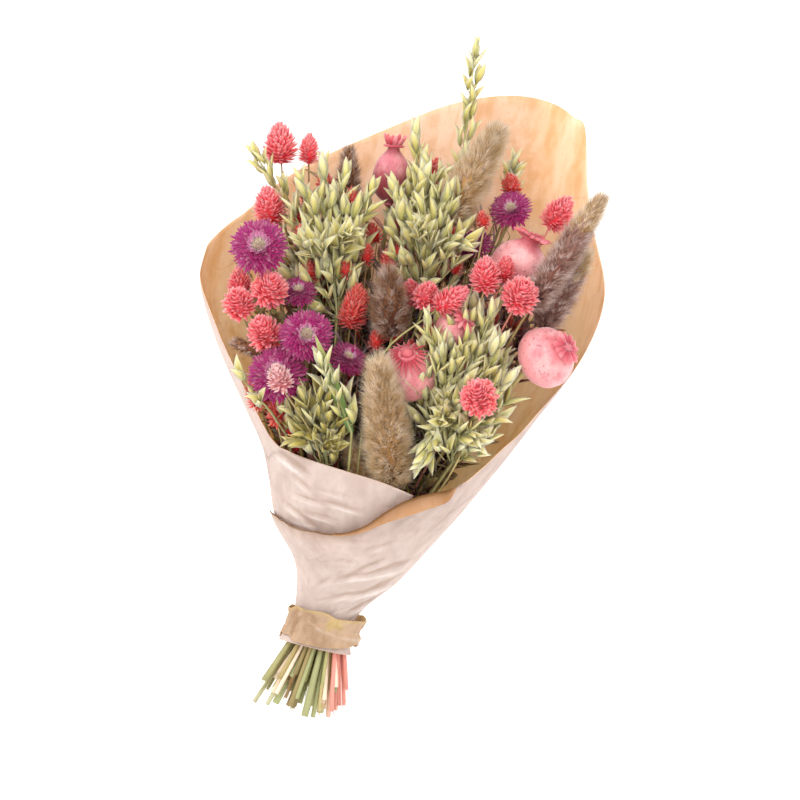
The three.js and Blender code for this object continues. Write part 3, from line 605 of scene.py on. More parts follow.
class Form:
    """A small closed mesh that is set in place many times: root at the origin, tip at z = 1."""

    def __init__(
        self, sides: int, rows: int, bend: float, power: float, flat: float, cup: float,
        start: float = 0.0, run: float = 1.0,
    ) -> None:
        """Shapes the form, whose half width follows half a sine wave from root to tip.

        Args:
            sides: Faces round it.
            rows: Faces from root to tip, with 1 for a plain spike.
            bend: Below 1 its widest place lies nearer its root.
            power: Below 1 its ends are fuller, and with 0 it is as wide all along.
            flat: Its thickness as a share of its width.
            cup: How far its rims are lifted, as a share of its width.
            start: Where in the wave its root lies.
            run: The share of the wave that it takes.
        """
        bm = bmesh.new()
        if rows == 1:
            bmesh.ops.create_cone(bm, cap_ends=True, segments=sides, radius1=0.5, radius2=0, depth=1)
        else:
            bmesh.ops.create_uvsphere(bm, u_segments=sides, v_segments=rows, radius=0.5)
        carried = carry(bm)
        least = 1e-6
        for v in bm.verts:
            share = min(max(v.co.z + 0.5, 0.0), 1.0)
            angle = math.atan2(v.co.y, v.co.x) if v.co.xy.length > least else math.pi / 2
            half = 0.0
            if (rows == 1 or share > least) and share < 1 - least:
                half = 0.5 * math.sin(math.pi * (start + run * share**bend)) ** power
            across, over = math.cos(angle), math.sin(angle)
            v.co = (half * across, half * (flat * over + cup * across * across), share)
            v[carried[0]] = share
            v[carried[2]] = across
        polish(bm.faces)
        self.mesh = bpy.data.meshes.new("form")
        bm.to_mesh(self.mesh)
        bm.free()
        self.count = len(self.mesh.vertices)
        spots = np.empty(self.count * 3, np.float32)
        self.mesh.vertices.foreach_get("co", spots)
        self.spots = spots.reshape(-1, 3)


class Piece:
    """One piece of the bunch in the making, with the finishes of its parts."""

    def __init__(self, name: str, *finishes: Finishes) -> None:
        """Starts an empty piece."""
        self.name = name
        self.finishes = finishes
        self.scrap = bpy.data.meshes.new(f"{name}_scrap")
        self.bm = bmesh.new()
        self.carried = carry(self.bm)

    def put(
        self, kind: str, at: Vector, ahead: Vector, over: Vector, length: float, width: float,
        tint: float = 0.5, curl: float = 0.0, finish: int = 1,
    ) -> None:
        """Sets a copy of a blade in place.

        Args:
            kind: The kind of blade.
            at: Its root.
            ahead: The direction from root to tip.
            over: The direction that its cupped face looks to, roughly.
            length: Its length.
            width: Its width.
            tint: Its own tone, 0 to 1.
            curl: How far its tip bends to that side, as a share of its length.
            finish: Which of the piece's finishes it has.
        """
        form = blade(kind)
        ahead = ahead.normalized()
        side = ahead.cross(over).normalized()
        over = side.cross(ahead)
        local = form.spots * np.array((width, width, length), np.float32)
        local[:, 1] += curl * length * form.spots[:, 2] ** 2
        spots = local @ np.array((side, over, ahead), np.float32) + np.array(at, np.float32)
        form.mesh.vertices.foreach_set("co", spots.ravel())
        form.mesh.attributes["tint"].data.foreach_set("value", np.full(form.count, tint, np.float32))
        form.mesh.polygons.foreach_set("material_index", np.full(len(form.mesh.polygons), finish, np.int32))
        self.bm.from_mesh(form.mesh)

    def rod(
        self, points: Sequence[Vector], radii: Sequence[float], sides: int = 7, tint: float = 0.5,
        finish: int = 0,
    ) -> None:
        """Runs a closed rod through points.

        Args:
            points: The points of its middle line.
            radii: Its radius at each point.
            sides: Faces round it.
            tint: Its own tone, 0 to 1.
            finish: Which of the piece's finishes it has.
        """
        bm = bmesh.new()
        carried = carry(bm)
        loop = bmesh.ops.create_circle(bm, cap_ends=True, radius=1.0, segments=sides)["verts"]
        face = loop[0].link_faces[0]
        side = (points[1] - points[0]).orthogonal().normalized()
        angles = [2 * math.pi * k / sides for k in range(sides)]
        last = len(points) - 1
        for j, (point, radius) in enumerate(zip(points, radii)):
            ahead = (points[min(j + 1, last)] - points[max(j - 1, 0)]).normalized()
            side = (side - ahead * side.dot(ahead)).normalized()
            other = ahead.cross(side)
            if j:
                face = bmesh.ops.extrude_discrete_faces(bm, faces=[face])["faces"][0]
                loop = list(face.verts)
            for v, a in zip(loop, angles):
                v.co = point + (side * math.cos(a) + other * math.sin(a)) * radius
                v[carried[0]] = j / last
                v[carried[1]] = tint
        polish(bm.faces, finish)
        bm.to_mesh(self.scrap)
        bm.free()
        self.bm.from_mesh(self.scrap)

    def show(self, shift: Vector) -> bpy.types.Object:
        """Moves the piece, turns it into metres and gives it its finishes.

        Args:
            shift: How far it moves.

        Returns:
            The object in the scene.
        """
        bmesh.ops.translate(self.bm, verts=self.bm.verts, vec=shift)
        bmesh.ops.scale(self.bm, verts=self.bm.verts, vec=(MM, MM, MM))
        mesh = bpy.data.meshes.new(self.name)
        self.bm.to_mesh(mesh)
        self.bm.free()
        bpy.data.meshes.remove(self.scrap)
        for finish in self.finishes:
            mesh.materials.append(material(finish.value))
        piece = bpy.data.objects.new(self.name, mesh)
        bpy.context.scene.collection.objects.link(piece)
        LOG.info("%s: %d faces", self.name, len(mesh.polygons))
        return piece

    def done(self, bench: "Bench", node: str = "") -> bpy.types.Object:
        """Finishes the piece and lets it ride.

        Args:
            bench: The frame that it stands in.
            node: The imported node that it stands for.

        Returns:
            The finished object.
        """
        piece = self.show(bench.shift)
        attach(piece, "root")
        if node:
            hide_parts(node)
        return piece


@dataclass(frozen=True)
class Stand:
    """Where a head stands in the front view, which way it looks, and its size."""

    across: float
    up: float
    height: float
    turn: float
    tilt: float
    length: float
    width: float

    @property
    def ahead(self) -> Vector:
        """The direction from its root to its tip."""
        return heading(self.turn, self.tilt)

    @property
    def root(self) -> Vector:
        """The place where its stem enters it."""
        return place(self.across, self.up, self.height) - self.ahead * (self.length / 2)


class Bench:
    """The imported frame, and how the bunch's own millimetres lie in it."""

    trim = 0.5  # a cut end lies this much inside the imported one
    clear = 8.0  # a stem's rings lie at least this far below what grows on it
    apart = 5.0  # and this far from each other

    def __init__(self) -> None:
        """Loads the frame, whose origin lies under the middle of the bunch's box."""
        self.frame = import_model()
        self.shift = -BOX_MIDDLE

    def line(self, node: str, root: Vector, ahead: Vector) -> list[Vector]:
        """Finds the middle line of a node's stem from the corners of its rings.

        Args:
            node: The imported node.
            root: Where the stem ends in what grows on it.
            ahead: The direction of what grows on it.

        Returns:
            The points from the cut end to the root.
        """
        corners = {tuple(round(c / MM, 3) for c in v.co) for v in self.frame["nodes"][node].data.vertices}
        spots = [Vector(c) - self.shift for c in sorted(corners)]
        spots = [s for s in spots if (s - root).dot(ahead) < -self.clear]
        rings: list[list[Vector]] = []
        for spot in spots:
            near = next((r for r in rings if (r[0] - spot).length < self.apart), None)
            if near:
                near.append(spot)
            else:
                rings.append([spot])
        middles = [sum(r, Vector()) / len(r) for r in rings if len(r) in (3, 4)]
        chain = [min(middles, key=lambda m: m.y)]
        left = [m for m in middles if m is not chain[0]]
        chain[0] = chain[0] + Vector((0, self.trim, 0))
        while left:
            chain.append(min(left, key=lambda m: (m - chain[-1]).length))
            left.remove(chain[-1])
        return [*chain, root]


def spline(points: Sequence[Vector], steps: int) -> list[Vector]:
    """Runs a smooth curve through points.

    Args:
        points: The points.
        steps: Steps between two of them.

    Returns:
        The finer points.
    """
    ends = [points[0] * 2 - points[1], *points, points[-1] * 2 - points[-2]]
    fine = []
    for a, b, c, d in zip(ends, ends[1:], ends[2:], ends[3:]):
        for n in range(steps):
            t = n / steps
            square = (a * 2 - b * 5 + c * 4 - d) * t * t
            cube = (b * 3 - a - c * 3 + d) * t**3
            fine.append((b * 2 + (c - a) * t + square + cube) / 2)
    return [*fine, points[-1]]


def stalk_finish(end: Vector, plain: Finishes) -> Finishes:
    """Chooses a stem's finish by where its cut end lies across the bundle.

    Args:
        end: The cut end.
        plain: The finish that its kind has where nothing else is seen.

    Returns:
        The finish.
    """
    seen = (
        (-25.0, Finishes.GREY_STALK),
        (-19.0, Finishes.CREAM_STALK),
        (-12.0, Finishes.BROWN_STALK),
        (-5.0, Finishes.OLIVE_STALK),
        (9.0, Finishes.GREEN_STALK),
        (16.0, Finishes.CREAM_STALK),
        (60.0, Finishes.SALMON_STALK),
    )
    return next((finish for edge, finish in seen if end.x < edge), plain)


class Plant:
    """A stem of one kind with what grows on it.

    Its blades lean out from the head's axis. The leans are the degrees at the head's foot, how many fewer
    there are at its tip, the power by which they fall between, and how far a blade strays.
    """

    more: tuple[Finishes, ...] = ()
    stem_radius = 1.1
    neck_radius = 0.6
    stout = 0.45
    stem = Finishes.CREAM_STALK
    leans: Row = (98.0, 84.0, 0.8, 9.0)

    def grow_stem(self, piece: Piece, line: Sequence[Vector], draw: random.Random) -> None:
        """Runs the stem along its line, slimmer towards its head and stouter below the tie."""
        fine = spline(line, 5)
        last = len(fine) - 1
        slim = self.stem_radius - self.neck_radius
        radii = [
            (self.stem_radius - slim * (k / last) ** 0.7) * (1 + self.stout * smooth(0, -30, spot.y))
            for k, spot in enumerate(fine)
        ]
        piece.rod(fine, radii, tint=draw.random())

    def lean(self, axis: Vector, out: Vector, share: float, draw: random.Random) -> tuple[Vector, Vector]:
        """Gives a blade's direction at a share of the head, and the one that looks outwards from it."""
        foot, less, power, stray = self.leans
        return leaning(axis, out, foot - less * share**power + draw.uniform(-stray, stray))


BLADES: Mapping[str, Row] = {  # sides, rows, bend, power, flat and cup, then start and run if not 0 and 1
    "scale": (4, 4, 0.72, 0.8, 0.25, -0.35),
    "bract": (4, 5, 0.8, 0.75, 0.10, 0.22),
    "floret": (3, 3, 0.5, 0.6, 1.0, 0.0),
    "bristle": (3, 1, 1.0, 0.0, 1.0, 0.0),
    "leaflet": (4, 4, 0.8, 0.8, 0.12, 0.3),
    "grain": (4, 4, 0.8, 0.9, 0.8, 0.0),
    "glume": (4, 6, 0.78, 0.95, 0.16, 0.75),
    "seed": (4, 4, 0.7, 1.0, 0.9, 0.0),
    "leaf": (6, 16, 1.0, 0.8, 0.08, 0.35, 0.12, 0.86),
    "core": (14, 12, 0.8, 0.6, 1.0, 0.0),
    "ray": (6, 7, 0.9, 0.7, 0.5, -0.3, 0.1, 0.85),
}


@cache
def blade(kind: str) -> Form:
    """Gives the form of a kind of blade, made once."""
    return Form(*BLADES[kind])


@dataclass
class CanaryGrass(Plant):
    """A canary grass stem with its egg-shaped head of pointed scales, wider where it faces the viewer."""

    stand: Stand
    finish: Finishes = Finishes.CORAL
    scales_to_area: float = 0.5
    scale_length: float = 0.44
    scale_width: float = 0.135
    open_width: float = 0.06
    open_tilt: Row = (20.0, 50.0)
    fewer: float = 0.25
    inset: float = 2.0
    curl: Row = (-0.14, 0.02)

    def build(self, piece: Piece, draw: random.Random) -> None:
        """Grows the head's core and its scales, from its foot to its tip."""
        s = self.stand
        axis, root = s.ahead, s.root
        core = s.width / 2 - self.inset
        opened = smooth(*self.open_tilt, s.tilt)
        piece.put("core", root, axis, axis.orthogonal(), s.length * 0.86, core * 1.6, 0.0)
        count = int(s.width * s.length * self.scales_to_area * (1 - self.fewer * opened))
        wide = s.width * (self.scale_width + self.open_width * opened)
        for i in range(count):
            t = (i + 0.5) / count
            out = ring(axis, i * GOLDEN_TURN + draw.uniform(-0.2, 0.2))
            girth = core * math.sin(math.pi * min(t, 0.97) ** 0.8) ** 0.62
            ahead, over = self.lean(axis, out, t, draw)
            at = root + axis * (s.length * (0.05 + 0.72 * t)) + out * girth * 0.62
            size = s.width * self.scale_length * draw.uniform(0.85, 1.1) * (1 - 0.25 * t)
            width = wide * draw.uniform(0.85, 1.15)
            piece.put("scale", at, ahead, over, size, width, draw.random(), draw.uniform(*self.curl))


@dataclass
class Poppy(Plant):
    """A poppy stem with its round pod, neck ring and rayed crown."""

    stand: Stand
    finish: Finishes = Finishes.POD
    more: tuple[Finishes, ...] = (Finishes.CROWN,)
    stem_radius: float = 1.8
    neck_radius: float = 1.5
    rays: int = 13
    ray_width: float = 0.95
    ray_curl: float = -0.12
    crown: float = 0.55
    crown_height: float = 4.0
    hub: float = 0.5
    hub_height: float = 3.0
    flare: float = 80.0
    upright: Row = (70.0, 40.0)
    rib_depth: float = 0.012
    lobes: int = 12
    facets: Sequence[int] = (48, 36)
    profile: Sequence[Row] = (
        (0.0, 0.0), (0.02, 0.2), (0.07, 0.5), (0.16, 0.78), (0.3, 0.97), (0.44, 1.0),
        (0.6, 0.95), (0.75, 0.79), (0.86, 0.54), (0.93, 0.36), (1.0, 0.3),
    )

    def build(self, piece: Piece, draw: random.Random) -> None:
        """Turns the pod and sets its neck ring and its crown."""
        axis, root = self.stand.ahead, self.stand.root
        top = self.stand.length - self.crown_height
        self.turn_pod(piece, top, Vector((draw.random() * 50, 0, 0)))
        piece.rod([root - axis * 2.2, root - axis * 0.6, root + axis * 1.2], [1.8, 3.4, 3.2], 12, 0.5, 1)
        self.set_crown(piece, root + axis * (top - 0.6), draw)

    def turn_pod(self, piece: Piece, top: float, seed: Vector) -> None:
        """Turns the pod up to its crown, faintly ribbed and uneven by noise from a place of its own."""
        axis, root, radius = self.stand.ahead, self.stand.root, self.stand.width / 2
        round_it, along_it = self.facets
        made = bmesh.ops.create_uvsphere(piece.bm, u_segments=round_it, v_segments=along_it, radius=0.5)
        side = axis.orthogonal().normalized()
        other = axis.cross(side)
        for v in made["verts"]:
            share = min(max(v.co.z + 0.5, 0.0), 1.0)
            angle = math.atan2(v.co.y, v.co.x)
            pole = share in (0.0, 1.0) or v.co.xy.length < 1e-6
            rib = 1 + self.rib_depth * math.cos(self.lobes * angle) * math.sin(math.pi * share)
            girth = 0.0 if pole else radius * table(self.profile, share) * rib
            if share < 0.06:
                girth *= smooth(-0.01, 0.05, share)
            out = side * math.cos(angle) + other * math.sin(angle)
            spot = root + axis * (share * top) + out * girth
            v.co = spot + out * (noise.noise(spot * 0.09 + seed) * 0.02 * girth)
            v[piece.carried[0]] = share
            polish(v.link_faces, 1)

    def set_crown(self, piece: Piece, centre: Vector, draw: random.Random) -> None:
        """Sets the crown's hub and its rays, which start further out where they stand upright."""
        axis = self.stand.ahead
        side = axis.orthogonal().normalized()
        cap = self.stand.width / 2 * self.crown
        piece.put(
            "core", centre - axis * 0.2, axis, side, self.hub_height, cap * 2 * self.hub, 0.2, finish=2
        )
        opened = 0.05 + 0.45 * smooth(*self.upright, self.flare)
        wide = 2 * math.pi * cap / self.rays * self.ray_width
        for k in range(self.rays):
            out = ring(axis, 2 * math.pi * (k + draw.uniform(-0.12, 0.12)) / self.rays)
            ahead, over = leaning(axis, out, self.flare + draw.uniform(-6, 6))
            at = centre + axis * 1.2 + out * cap * opened
            size = cap * draw.uniform(0.92, 1.08)
            piece.put("ray", at, ahead, -over, size, wide, draw.random(), self.ray_curl, 2)


@dataclass
class Strawflower(Plant):
    """A strawflower stem with its bloom of stiff pointed bracts."""

    stand: Stand
    pale_heart: float = 0.3
    bract_width: float = 0.19
    disc: float = 0.21
    finish: Finishes = Finishes.MAGENTA
    more: tuple[Finishes, ...] = (Finishes.DISC, Finishes.HEART)
    stem_radius: float = 1.4
    neck_radius: float = 1.1
    leans: Row = (100.0, 70.0, 1.2, 8.0)
    curl: Row = (0.02, 0.16)
    bracts: Row = (70.0, 4.6)
    florets: Row = (30.0, 1.6)

    def build(self, piece: Piece, draw: random.Random) -> None:
        """Sets the bracts from the outermost to those round the disc, then the disc's florets."""
        s = self.stand
        axis, root, r, depth = s.ahead, s.root, s.width / 2, s.length
        piece.put("core", root, axis, axis.orthogonal(), depth * 0.82, r * 0.95, 0.3)
        count, dots = (int(least + s.width * more) for least, more in (self.bracts, self.florets))
        for i in range(count):
            u = i / count
            out = ring(axis, i * GOLDEN_TURN)
            ahead, over = self.lean(axis, out, u, draw)
            at = root + axis * depth * (0.42 + 0.3 * u) + out * r * (0.34 - 0.15 * u)
            size = r * (0.72 - 0.42 * u**1.4) * draw.uniform(0.92, 1.06)
            width = r * self.bract_width * draw.uniform(0.8, 1.15)
            tone = 0.45 + 0.5 * draw.uniform(-0.5, 0.5)
            inner = 3 if u > 1 - self.pale_heart else 1
            piece.put("bract", at, ahead, -over, size, width, tone, draw.uniform(*self.curl), inner)
        for i in range(dots):
            u = math.sqrt((i + 0.5) / dots)
            out = ring(axis, i * GOLDEN_TURN)
            at = root + axis * depth * (0.78 - 0.12 * u * u) + out * r * self.disc * u
            piece.put("floret", at, axis + out * u * 0.5, out, depth * 0.16, r * 0.06, draw.random(), 0, 2)


@dataclass
class Plume(Plant):
    """A foxtail stem with its plume of tufted bristles."""

    stand: Stand
    finish: Finishes = Finishes.BEIGE
    more: tuple[Finishes, ...] = (Finishes.BEIGE,)
    tan_from: float = 0.72
    tufts_to_area: float = 0.13
    core_share: float = 0.3
    bristles: int = 28
    bristle_width: float = 0.36
    bristle_length: Row = (0.22, 0.48)
    grain: Row = (4.6, 2.1)
    tuft_spread: Row = (0.03, 0.46)
    stem_radius: float = 1.3
    neck_radius: float = 0.9
    leans: Row = (62.0, 44.0, 1.0, 8.0)

    def build(self, piece: Piece, draw: random.Random) -> None:
        """Grows the core, then a grain with its bristles for each tuft; a mauve plume has a tan tip."""
        s = self.stand
        axis, root = s.ahead, s.root
        core = s.width * self.core_share
        piece.put("core", root, axis, axis.orthogonal(), s.length * 0.94, core * 1.8, 0.1)
        count = int(s.length * s.width * self.tufts_to_area)
        for i in range(count):
            t = (i + 0.5) / count
            out = ring(axis, i * GOLDEN_TURN + draw.uniform(-0.3, 0.3))
            girth = core * math.sin(math.pi * min(t, 0.985) ** 0.75) ** 0.5
            ahead, _ = self.lean(axis, out, t, draw)
            tint = draw.random()
            tan = self.finish is Finishes.MAUVE and t + draw.uniform(-0.1, 0.1) > self.tan_from
            own = 2 if tan else 1
            at = root + axis * (s.length * (0.02 + 0.86 * t)) + out * girth * 0.8
            piece.put("grain", at, ahead, out, *self.grain, tint, 0, own)
            for _ in range(self.bristles):
                stray = ring(ahead, draw.uniform(0, 2 * math.pi)) * draw.uniform(*self.tuft_spread)
                size = s.width * draw.uniform(*self.bristle_length)
                tone = tint + draw.uniform(-0.1, 0.1)
                piece.put("bristle", at, ahead + stray, out, size, self.bristle_width, tone, 0.0, own)


@dataclass
class Oat(Plant):
    """An oat stem, forked, with papery spikelets along its branches and perhaps a leaf."""

    fork: Row
    tips: Sequence[Row]
    leaf: Row = ()
    bush: Row = ()
    crowding: float = 4.6
    finish: Finishes = Finishes.HUSK
    more: tuple[Finishes, ...] = (Finishes.LEAF,)
    stem: Finishes = Finishes.GREEN_STALK
    stem_radius: float = 1.7
    neck_radius: float = 0.9
    branch_radius: float = 0.55
    husk_length: float = 20.5
    husk_width: float = 0.35
    gape: Row = (0.14, 0.5)
    curl: Row = (-0.14, 0.08)
    crown: float = 14.0
    leaf_width: float = 8.0

    @property
    def root(self) -> Vector:
        """The fork."""
        return place(*self.fork)

    @property
    def ahead(self) -> Vector:
        """The direction in which the stem reaches its fork."""
        first = (place(*self.tips[0][:3]) - self.root).normalized()
        return (first + Vector((0, 1, 0))).normalized()

    def branches(self) -> list[list[Vector]]:
        """Gives the points of each branch: the first runs on from the stem, the others leave it in turn."""
        main: tuple[Vector, ...] = ()
        made = []
        for b, tip in enumerate(self.tips):
            end = place(*tip[:3])
            start = bow(*main, 0.06 + 0.4 * b / len(self.tips)) if main else self.root
            middle = start.lerp(end, 0.45) + self.ahead * ((end - start).length * 0.08)
            main = main or (start, middle, end)
            made.append([bow(start, middle, end, n / STEPS) for n in range(STEPS + 1)])
        return made

    def spikelet(self, piece: Piece, at: Vector, ahead: Vector, draw: random.Random) -> None:
        """Sets two glumes that open from one root, with the florets between them."""
        tint = draw.random()
        out = ring(ahead, draw.uniform(0, 2 * math.pi))
        size = self.husk_length * draw.uniform(0.78, 1.06)
        gape = draw.uniform(*self.gape)
        for sign in (1, -1):
            way, long = ahead + out * sign * gape, size * draw.uniform(0.92, 1)
            wide = size * self.husk_width
            piece.put("glume", at, way, out * -sign, long, wide, tint, draw.uniform(*self.curl))
        piece.put("seed", at, ahead, out, size * 0.66, size * 0.12, tint * 0.5)

    def scatter(self, piece: Piece, draw: random.Random) -> None:
        """Fills the bush, an oval in the front view with its height and count, with upright spikelets."""
        across, up, height, wide, tall, count = self.bush
        for n in range(count):
            x, y = oval(n, count, wide, tall)
            level = height - self.crown * (n + 0.5) / count + draw.uniform(-15, 3)
            at = place(across + x, up + y, level)
            run = (at - self.root).normalized()
            stray = Vector((draw.uniform(-0.5, 0.5), draw.uniform(0.2, 1.0), draw.uniform(-0.3, 0.9)))
            ahead = (run + stray).normalized()
            piece.rod([at - (ahead * 0.5 + run) * 9, at], [0.45, 0.3], 4, draw.random())
            self.spikelet(piece, at, ahead, draw)

    def build(self, piece: Piece, draw: random.Random) -> None:
        """Grows the branches, their spikelets on short stalks, and the leaf."""
        if self.bush:
            self.scatter(piece, draw)
        for tip, points in zip(self.tips, self.branches()):
            slim = self.neck_radius - self.branch_radius
            radii = [self.neck_radius - slim * k / STEPS for k in range(STEPS + 1)]
            piece.rod(points, radii, 5, draw.random())
            count = int(tip[3] * self.crowding)
            for n in range(count):
                last = n == count - 1
                t = 0.1 + 0.9 * n / max(count - 1, 1)
                at, ahead = along(points, t)
                spread = 0.0 if last else draw.uniform(0.1, 0.5) * (1 - 0.4 * t)
                out = ring(ahead, n * GOLDEN_TURN)
                reach = 0.0 if last else draw.uniform(1, 8) * (1 - 0.6 * t)
                foot = at + (ahead * 0.5 + out).normalized() * reach
                if reach:
                    piece.rod([at, (at + foot) / 2, foot], [0.4, 0.3, 0.3], 4)
                away = ahead + out * spread + Vector((0, 0.25, 0))
                self.spikelet(piece, foot, away.normalized(), draw)
        if self.leaf:
            run = place(*self.leaf) - self.root
            piece.put("leaf", self.root, run, Vector((0, 0, 1)), run.length, self.leaf_width, 0.6, 0.0, 2)


@dataclass(frozen=True)
class Crease:
    """A soft fold in the paper, from one place in the front view to another."""

    across: float
    up: float
    end_across: float
    end_up: float
    depth: float
    width: float

    def at(self, across: float, up: float) -> float:
        """How far the paper stands out at a place: a valley with a low ridge beside it."""
        start = Vector((self.across, self.up))
        run = Vector((self.end_across, self.end_up)) - start
        off = Vector((across, up)) - start
        share = off.dot(run) / run.length_squared
        if not 0 < share < 1:
            return 0.0
        away = (off.x * run.y - off.y * run.x) / run.length / self.width
        ridge = 0.6 * math.exp(-((away - 1.7) ** 2)) - math.exp(-(away**2))
        return self.depth * math.sin(math.pi * share) * ridge


OUTER_CREASES = (
    (0, 33, 62, 45, 1.2, 1.8), (14, 21, 54, 35, 1.4, 1.4), (2, 49, 30, 46, 0.6, 1.3),
    (14, 36, 48, 52, 1.0, 1.6), (23, 53, 54, 62, 0.7, 1.4), (34, 41, 66, 49, 1.0, 1.4),
    (14, 10, 38, 23, 1.5, 1.3), (38, 64, 78, 94, 0.6, 1.8), (0, 20, 28, 27, 0.9, 1.4),
    (4, 62, 36, 60, 0.5, 1.4), (30, 28, 58, 40, 1.0, 1.2), (-8, 26, 10, 40, 0.6, 1.5),
)
INNER_CREASES = (
    (-28, 89, 2, 66, 1.0, 1.6), (-22, 93, 6, 84, 0.9, 1.3), (-4, 89, 32, 79, 1.1, 1.4),
    (-17, 82, 14, 73, 0.9, 1.3), (-32, 123, -5, 103, 1.3, 2.2), (-25, 77, -1, 70, 0.7, 1.2),
    (-8, 97, 26, 88, 0.6, 1.3), (-20, 106, -4, 92, 0.8, 1.6),
)


class Sheet:
    """A curved sheet of paper over a grid, whose kinds say where its points lie and how they look."""

    start: float
    end: float
    around: int
    rows: int
    face: float
    thickness: float

    def lay(self, bm: bmesh.types.BMesh) -> None:
        """Lays the grid over the sheet's points, faces out, above the surface and not too far left."""
        made = bmesh.ops.create_grid(bm, x_segments=self.around, y_segments=self.rows, size=0.5)
        tint, rim = (bm.verts.layers.float[name] for name in CARRIED[1:])
        for v in made["verts"]:
            angle = self.start + (self.end - self.start) * (v.co.x + 0.5)
            row = v.co.y + 0.5
            back = -NUDGE if row > 0.5 else NUDGE
            here = self.point(angle, row)
            turned = self.point(angle + NUDGE, row) - here
            on = (self.point(angle, row + back) - here) / back
            out = on.cross(turned).normalized()
            spot = here + out * (self.face + self.relief(angle, row, here, out))
            spot.z = max(spot.z, LOWEST)
            over = max(-SHEET_EDGE - spot.x, 0.0)
            spot.x += over - (1 - math.exp(-over))
            v.co = spot
            # the tint paints shade and glow, and the rim number paints shade and highlights along the creases
            v[tint], v[rim] = self.tone(angle, row, here, out)
        bmesh.ops.reverse_faces(bm, faces=bm.faces)
        polish(bm.faces)

    def finish(self, bench: Bench, node: str, slot: str, piece: Piece, inside: int) -> None:
        """Lays the sheet and gives it its thickness, with a finish of its own inside and at its edges."""
        self.lay(piece.bm)
        wall = piece.done(bench, node).modifiers.new("wall", "SOLIDIFY")
        wall.thickness = self.thickness * MM
        wall.offset = -1.0
        wall.material_offset = inside
        wall.material_offset_rim = inside


